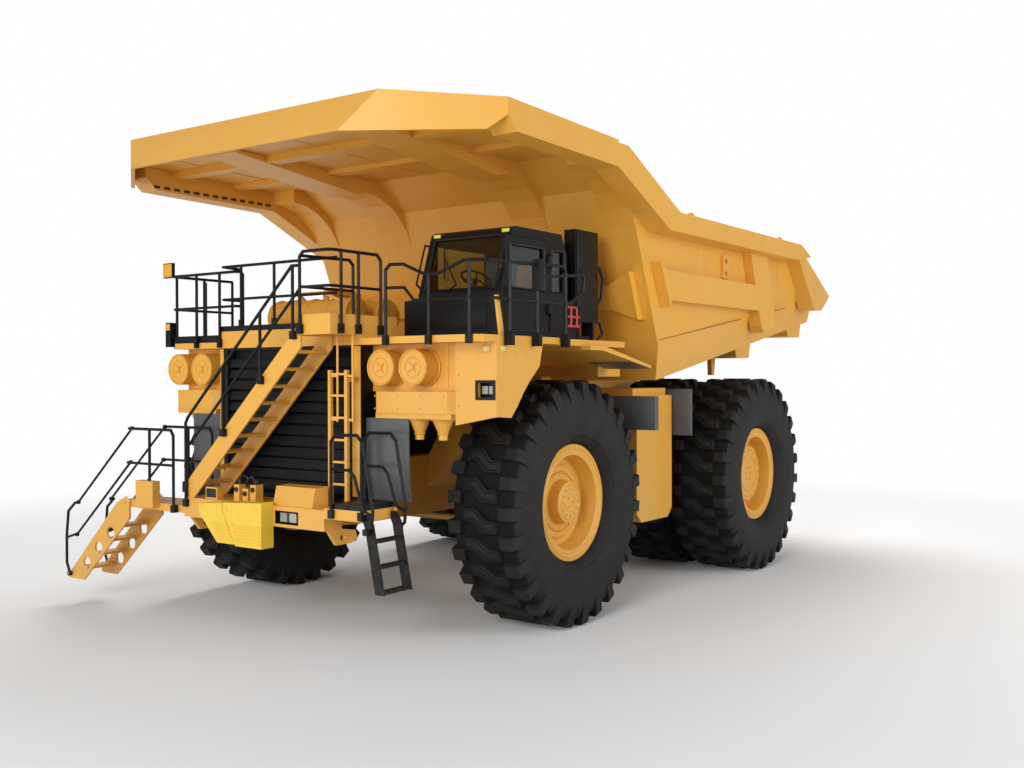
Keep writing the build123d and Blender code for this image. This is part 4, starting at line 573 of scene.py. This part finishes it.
# the clamps of the dust bowls
for x in (1.85, 2.25, 2.65, -1.85, -2.25):
    add_ring(bm, at(x, -2.27, 3.06), upward, 0.15, 0.016, steps=24)
    add_ring(bm, at(x, -2.27, 2.87), upward, 0.066, 0.012, steps=16)
# folded seams, level ones and then upright ones, and two rows of bolts
for x0, x1 in ((1.46, 2.98), (-2.49, -1.46)):
    for z in (3.47, 3.52, 4.0):
        add_block(bm, (x0, -2.306, z), (x1, -2.3, z + 0.022))
for x in (2.93, 2.74, -2.45):
    add_block(bm, (x, -2.308, 3.48), (x + 0.03, -2.3, 4.05))
for x in (1.66, 2.05, 2.45, 2.85, -2.42, -2.05, -1.7):
    for z in (3.2, 3.37):
        add_rod(bm, at(x, -2.5, z), at(x, -2.51, z), 0.012, sides=6)
finish(bm, "air_cleaner_fittings", yellow, "chassis", smooth=40)

# ------------------------------------------------------------------ lamp bezels
# A black steel bezel frames the fender's lamps, and a thin black sheet on the recesses behind all the lamps is
# painted shade. They are screwed to the fender and the bumper.


def add_frame(bm, low, high, front, back, wide, tall):
    """Four bars round an opening, from the frame's outer corners in x and z and the bars' two thicknesses."""
    (x0, z0), (x1, z1) = low, high
    for start, end in (((x0, z0), (x0 + wide, z1)), ((x1 - wide, z0), (x1, z1)),
                       ((x0 + wide, z0), (x1 - wide, z0 + tall)), ((x0 + wide, z1 - tall), (x1 - wide, z1))):
        add_block(bm, (start[0], front, start[1]), (end[0], back, end[1]))


SHADE_LINING = 0.006
# the fender's lamps: the bezel, and the recess's back and its walls in black as painted shade
bm = bmesh.new()
add_frame(bm, (3.325, 3.33), (3.635, 3.58), -2.462, -2.45, 0.035, 0.032)
add_block(bm, (3.362, -2.33, 3.362), (3.598, -2.322, 3.548))
add_frame(bm, (3.362, 3.362), (3.598, 3.548), -2.4, -2.33, SHADE_LINING, SHADE_LINING)
# the recesses of the bumper's two pairs of lamps: their backs and walls in black as painted shade
for x in (0.49, -0.94):
    add_block(bm, (x + 0.002, -3.15, 1.642), (x + 0.448, -3.142, 1.818))
    add_frame(bm, (x + 0.002, 1.642), (x + 0.448, 1.818), -3.228, -3.15, SHADE_LINING, SHADE_LINING)
finish(bm, "lamp_bezels", black, "chassis", smooth=40)

# ------------------------------------------------------------------ rear panels
# Grey-painted steel panels stand in front of the tanks and behind them, and are bolted on. A thin grey sheet
# under the rear of the plates that slope down from the decks is painted shade on their undersides.


def add_panel(bm, side, inner, outer, front, back, bottom, top):
    """An upright panel on one side of the truck, from its inner to its outer edge."""
    low, high = sorted((side * inner, side * outer))
    add_block(bm, (low, front, bottom), (high, back, top), 0.006)


bm = bmesh.new()
for side, outer, bottom in ((1, 3.42, 2.75), (-1, 3.3, 2.85)):
    add_panel(bm, side, 2.25, outer, 2.2, 2.32, bottom, 3.3)
for side in (1, -1):
    add_panel(bm, side, 2.35, 3.34, 3.64, 3.72, 2.6, 3.4)
    # the painted shade's outline seen from the side: y, and how far each corner lies below the sloping plate
    corners = ((1.16, 0.001), (1.71, 0.001), (1.71, 0.012), (1.16, 0.012))
    underside_shade = [(y, 4.0 - 0.17 * (y - 0.25) - drop) for y, drop in corners]
    extruded(bm, underside_shade, lambda y, z: at(side * 2.82, y, z), (side * 0.76, 0, 0))
finish(bm, "rear_panels", grey, "chassis", smooth=40)

# ------------------------------------------------------------------ fender bolts
# Hexagon bolts hold the fender's panels at their edges and the sloping plates along their outer edges, and
# two small bases carry the marker lamps. They are steel, in the yellow paint.
# the marker lamps' bases
bm = bmesh.new()
add_block(bm, (3.44, -2.462, 3.93), (3.56, -2.45, 4.02), 0.004)
add_block(bm, (3.65, -2.38, 3.93), (3.662, -2.26, 4.02), 0.004)
# the bolts in the fender's front, in its side, and along the sloping plates
for z in (3.25, 3.45, 3.65, 3.85):
    add_rod(bm, at(3.05, -2.45, z), at(3.05, -2.46, z), 0.012, sides=6)
for y in (-2.3, -2.05, -1.8):
    # the lower row follows the panel's edge, which rises to the rear
    for z in (3.3 + (y + 2.3) * 0.6, 3.9):
        add_rod(bm, at(3.65, y, z), at(3.66, y, z), 0.012, sides=6)
for side in (1, -1):
    for y in [0.45 + 0.105 * i for i in range(11)]:
        z = 4.06 - 0.19 * (y - 0.3) + 0.001
        add_rod(bm, at(side * 3.55, y, z), at(side * 3.55, y, z + 0.02), 0.016, sides=6)
finish(bm, "fender_bolts", yellow, "chassis", smooth=40)

# ------------------------------------------------------------------ small lamps
# Marker lamps: yellow-green lenses on the corners of the cab's roof, and pale amber ones on the bases at the
# fender's top. They are moulded plastic, clipped on.
warm_lens = enamel("amber_lamp_lens", "#E8CE86", "#E0C278", 0.15, dust=0.0)
marker = enamel("fluorescent_marker_lens", "#DDE35A", "#D3DA50", 0.2, dust=0.0)
bm = bmesh.new()
for x in (1.62, 2.84):
    add_block(bm, (x - 0.06, -1.125, 5.635), (x + 0.06, -1.095, 5.685), 0.006)
finish(bm, "roof_markers", marker, "chassis")
bm = bmesh.new()
add_block(bm, (3.46, -2.472, 3.945), (3.54, -2.462, 4.005), 0.003)
add_block(bm, (3.662, -2.36, 3.945), (3.672, -2.28, 4.005), 0.003)
finish(bm, "fender_markers", warm_lens, "chassis")

# ------------------------------------------------------------------ bed fittings
# Weld beads lie where the body's plates meet: round the flanks' panels, up the flanks, and under the canopy.
# A thin dark yellow-brown line runs along the long joint below the crease.
FLANK_X = 3.42
bm = bmesh.new()
for side in (1, -1):
    for y0, z0, y1, z1 in ((2.1, 5.45, 2.28, 5.33), (2.28, 5.332, 6.3, 5.332), (2.45, 4.848, 6.2, 4.848)):
        x = side * (FLANK_X + 0.005)
        add_rod(bm, at(x, y0, z0), at(x, y1, z1), 0.014, sides=6)
    for y in (3.9, 7.4):
        foot = 4.3 + 0.172 * (y - 2)
        add_rod(bm, at(side * FLANK_X, y, foot), at(side * FLANK_X, y, 5.92), 0.009, sides=6)
for x in (-2.6, -1.3, 0.0, 1.3, 2.6):
    add_rod(bm, at(x, -2.4, 7.048), at(x, 0.3, 7.001), 0.009, sides=6)
finish(bm, "bed_welds", yellow, "dump_bed", smooth=60)

seam_line = enamel("dark_seam_line", "#7A5A20", "#6B4E1B", 0.7, dust=0.0)
bm = bmesh.new()
for side in (1, -1):
    for y0, z0, y1, z1 in ((2.34, 4.209, 5.6, 4.68), (6.9, 4.87, 7.85, 5.0)):
        add_rod(bm, at(side * FLANK_X, y0, z0), at(side * FLANK_X, y1, z1), 0.007, sides=6)
finish(bm, "bed_seams", seam_line, "dump_bed")

# ------------------------------------------------------------------ radiator cladding
# Yellow-painted sheet steel covers the posts of the radiator's surround, on both sides of the black grille. It
# is bolted on along its edge.
bm = bmesh.new()
for x0, x1 in ((1.285, 1.438), (-1.438, -1.36)):
    add_block(bm, (x0, -2.552, 1.99), (x1, -2.54, 4.05), 0.003)
    for z in [2.1 + 0.35 * i for i in range(6)]:
        add_rod(bm, at(x1 - 0.03, -2.552, z), at(x1 - 0.03, -2.56, z), 0.011, sides=6)
finish(bm, "radiator_cladding", yellow, "chassis", smooth=40)

# ------------------------------------------------------------------ chock ribs
# Ribs that grip the ground are moulded on the chocks' long faces, in the same urethane, and so are three
# small eyes near the top.
bm = bmesh.new()
for i in range(6):
    z = 1.36 + 0.045 * i
    add_block(bm, (-0.03 - 0.02 * i, -3.466, z), (0.44, -3.449, z + 0.02), 0.003)
    add_block(bm, (-0.4 - 0.03 * i, -3.466, z + 0.01), (-0.12 - 0.02 * i, -3.449, z + 0.03), 0.003)
add_block(bm, (-0.318, -3.456, 1.86), (-0.3, -3.449, 1.89))
for x in (-0.25, 0.38, -0.75):
    add_ring(bm, at(x, -3.45, 1.82), toward, 0.03, 0.006, steps=16)
finish(bm, "chock_ribs", chock, "chassis", smooth=40)

# ------------------------------------------------------------------ mirrors
# Silvered glass is bonded in the mirrors' black heads, and an amber sheet on the right-hand head and on the
# small box below it is a painted reflection of the truck's yellow.
silver, tree, place = new_material("silvered_mirror_glass")
smear = add_node(tree, "TexNoise", {"Vector": place, "Scale": 14.0, "Detail": 3.0}).outputs["Fac"]
gloss = add_node(tree, "MapRange", {"Value": smear, "To Min": 0.02, "To Max": 0.07}).outputs["Result"]
shader = add_node(tree, "BsdfPrincipled", {
    "Base Color": linear("#D3D8DA"), "Metallic": 1.0, "Roughness": gloss})
add_node(tree, "OutputMaterial", {"Surface": shader.outputs["BSDF"]})
bm = bmesh.new()
add_block(bm, (3.675, -1.583, 4.77), (3.765, -1.578, 5.13), 0.002)
add_block(bm, (-2.585, -2.64, 5.19), (-2.395, -2.635, 5.38), 0.002)
finish(bm, "mirror_glass", silver, "chassis")
mirror_reflection_paint = enamel("painted_mirror_reflection", "#E9A93A", "#DFA033", 0.3, dust=0.0)
bm = bmesh.new()
add_block(bm, (-2.585, -2.695, 5.185), (-2.395, -2.69, 5.385), 0.002)
add_block(bm, (-2.61, -2.645, 4.36), (-2.51, -2.64, 4.46), 0.002)
finish(bm, "right_head_painted_reflection", mirror_reflection_paint, "chassis")

# ------------------------------------------------------------------ exhaust fittings
# Clamps round the two exhaust modules, a plate on one end and a collar on the other, the pipe that joins them
# and a sensor pipe. They are steel, painted with the modules.
MODULE_Z = 4.56
bm = bmesh.new()
for y in (-1.4, -0.7):
    for x in (-1.3, -0.95, -0.55, -0.1, 0.22):
        add_ring(bm, at(x, y, MODULE_Z), Vector((1, 0, 0)), 0.262, 0.016, steps=32)
    add_rod(bm, at(-1.38, y, MODULE_Z), at(-1.4, y, MODULE_Z), 0.2, sides=32)
    add_rod(bm, at(0.3, y, MODULE_Z), at(0.34, y, MODULE_Z), 0.14, sides=24)
add_path(bm, [(-0.35, -1.4, 4.8), (-0.35, -1.4, 4.92), (-0.35, -0.7, 4.92), (-0.35, -0.7, 4.8)], 0.05)
add_path(bm, [(-0.8, -1.4, 4.8), (-0.8, -1.55, 4.9), (-0.2, -1.6, 4.9), (0.05, -1.5, 4.78)], 0.03)
finish(bm, "exhaust_fittings", yellow, "chassis", smooth=40)

# ------------------------------------------------------------------ valves on the bumper
# Black valves with two rubber hoses between them, bolted on their yellow brackets behind the chocks, and a
# small black plate beside them.
bm = bmesh.new()
for x, top in ((-0.415, 2.11), (-0.235, 2.06), (-0.075, 2.12)):
    add_rod(bm, at(x, -3.05, top), at(x, -3.05, top + 0.07), 0.04)
    add_rod(bm, at(x, -3.12, top - 0.07), at(x, -3.14, top - 0.07), 0.035)
for y, bends in ((-3.05, ((-0.415, 2.17), (-0.38, 2.24), (-0.27, 2.22), (-0.235, 2.12))),
                 (-3.1, ((-0.235, 2.1), (-0.19, 2.2), (-0.1, 2.24), (-0.075, 2.18)))):
    add_path(bm, [(x, y, z) for x, z in bends], 0.014)
add_block(bm, (-0.99, -3.186, 1.905), (-0.78, -3.18, 2.03), 0.003)
finish(bm, "bumper_valves", black_rubber, "chassis", smooth=50)

# ------------------------------------------------------------------ canopy slots
# A row of drain slots runs along each rail of the canopy, close to its foot. They are cut in the plate, and
# the shade in each opening is painted as a thin dark inlay.
SLOT_X = 3.4185
SHADE_INLAY = 0.003
bm = bmesh.new()
for side in (1, -1):
    for y in [-2.25 + 0.2 * i for i in range(13)]:
        middle = side * SLOT_X
        # each dark inlay is painted shade in one slot
        add_block(bm, (middle - SHADE_INLAY / 2, y, 6.73), (middle + SHADE_INLAY / 2, y + 0.12, 6.775))
finish(bm, "canopy_slot_painted_shade", black_rubber, "dump_bed")
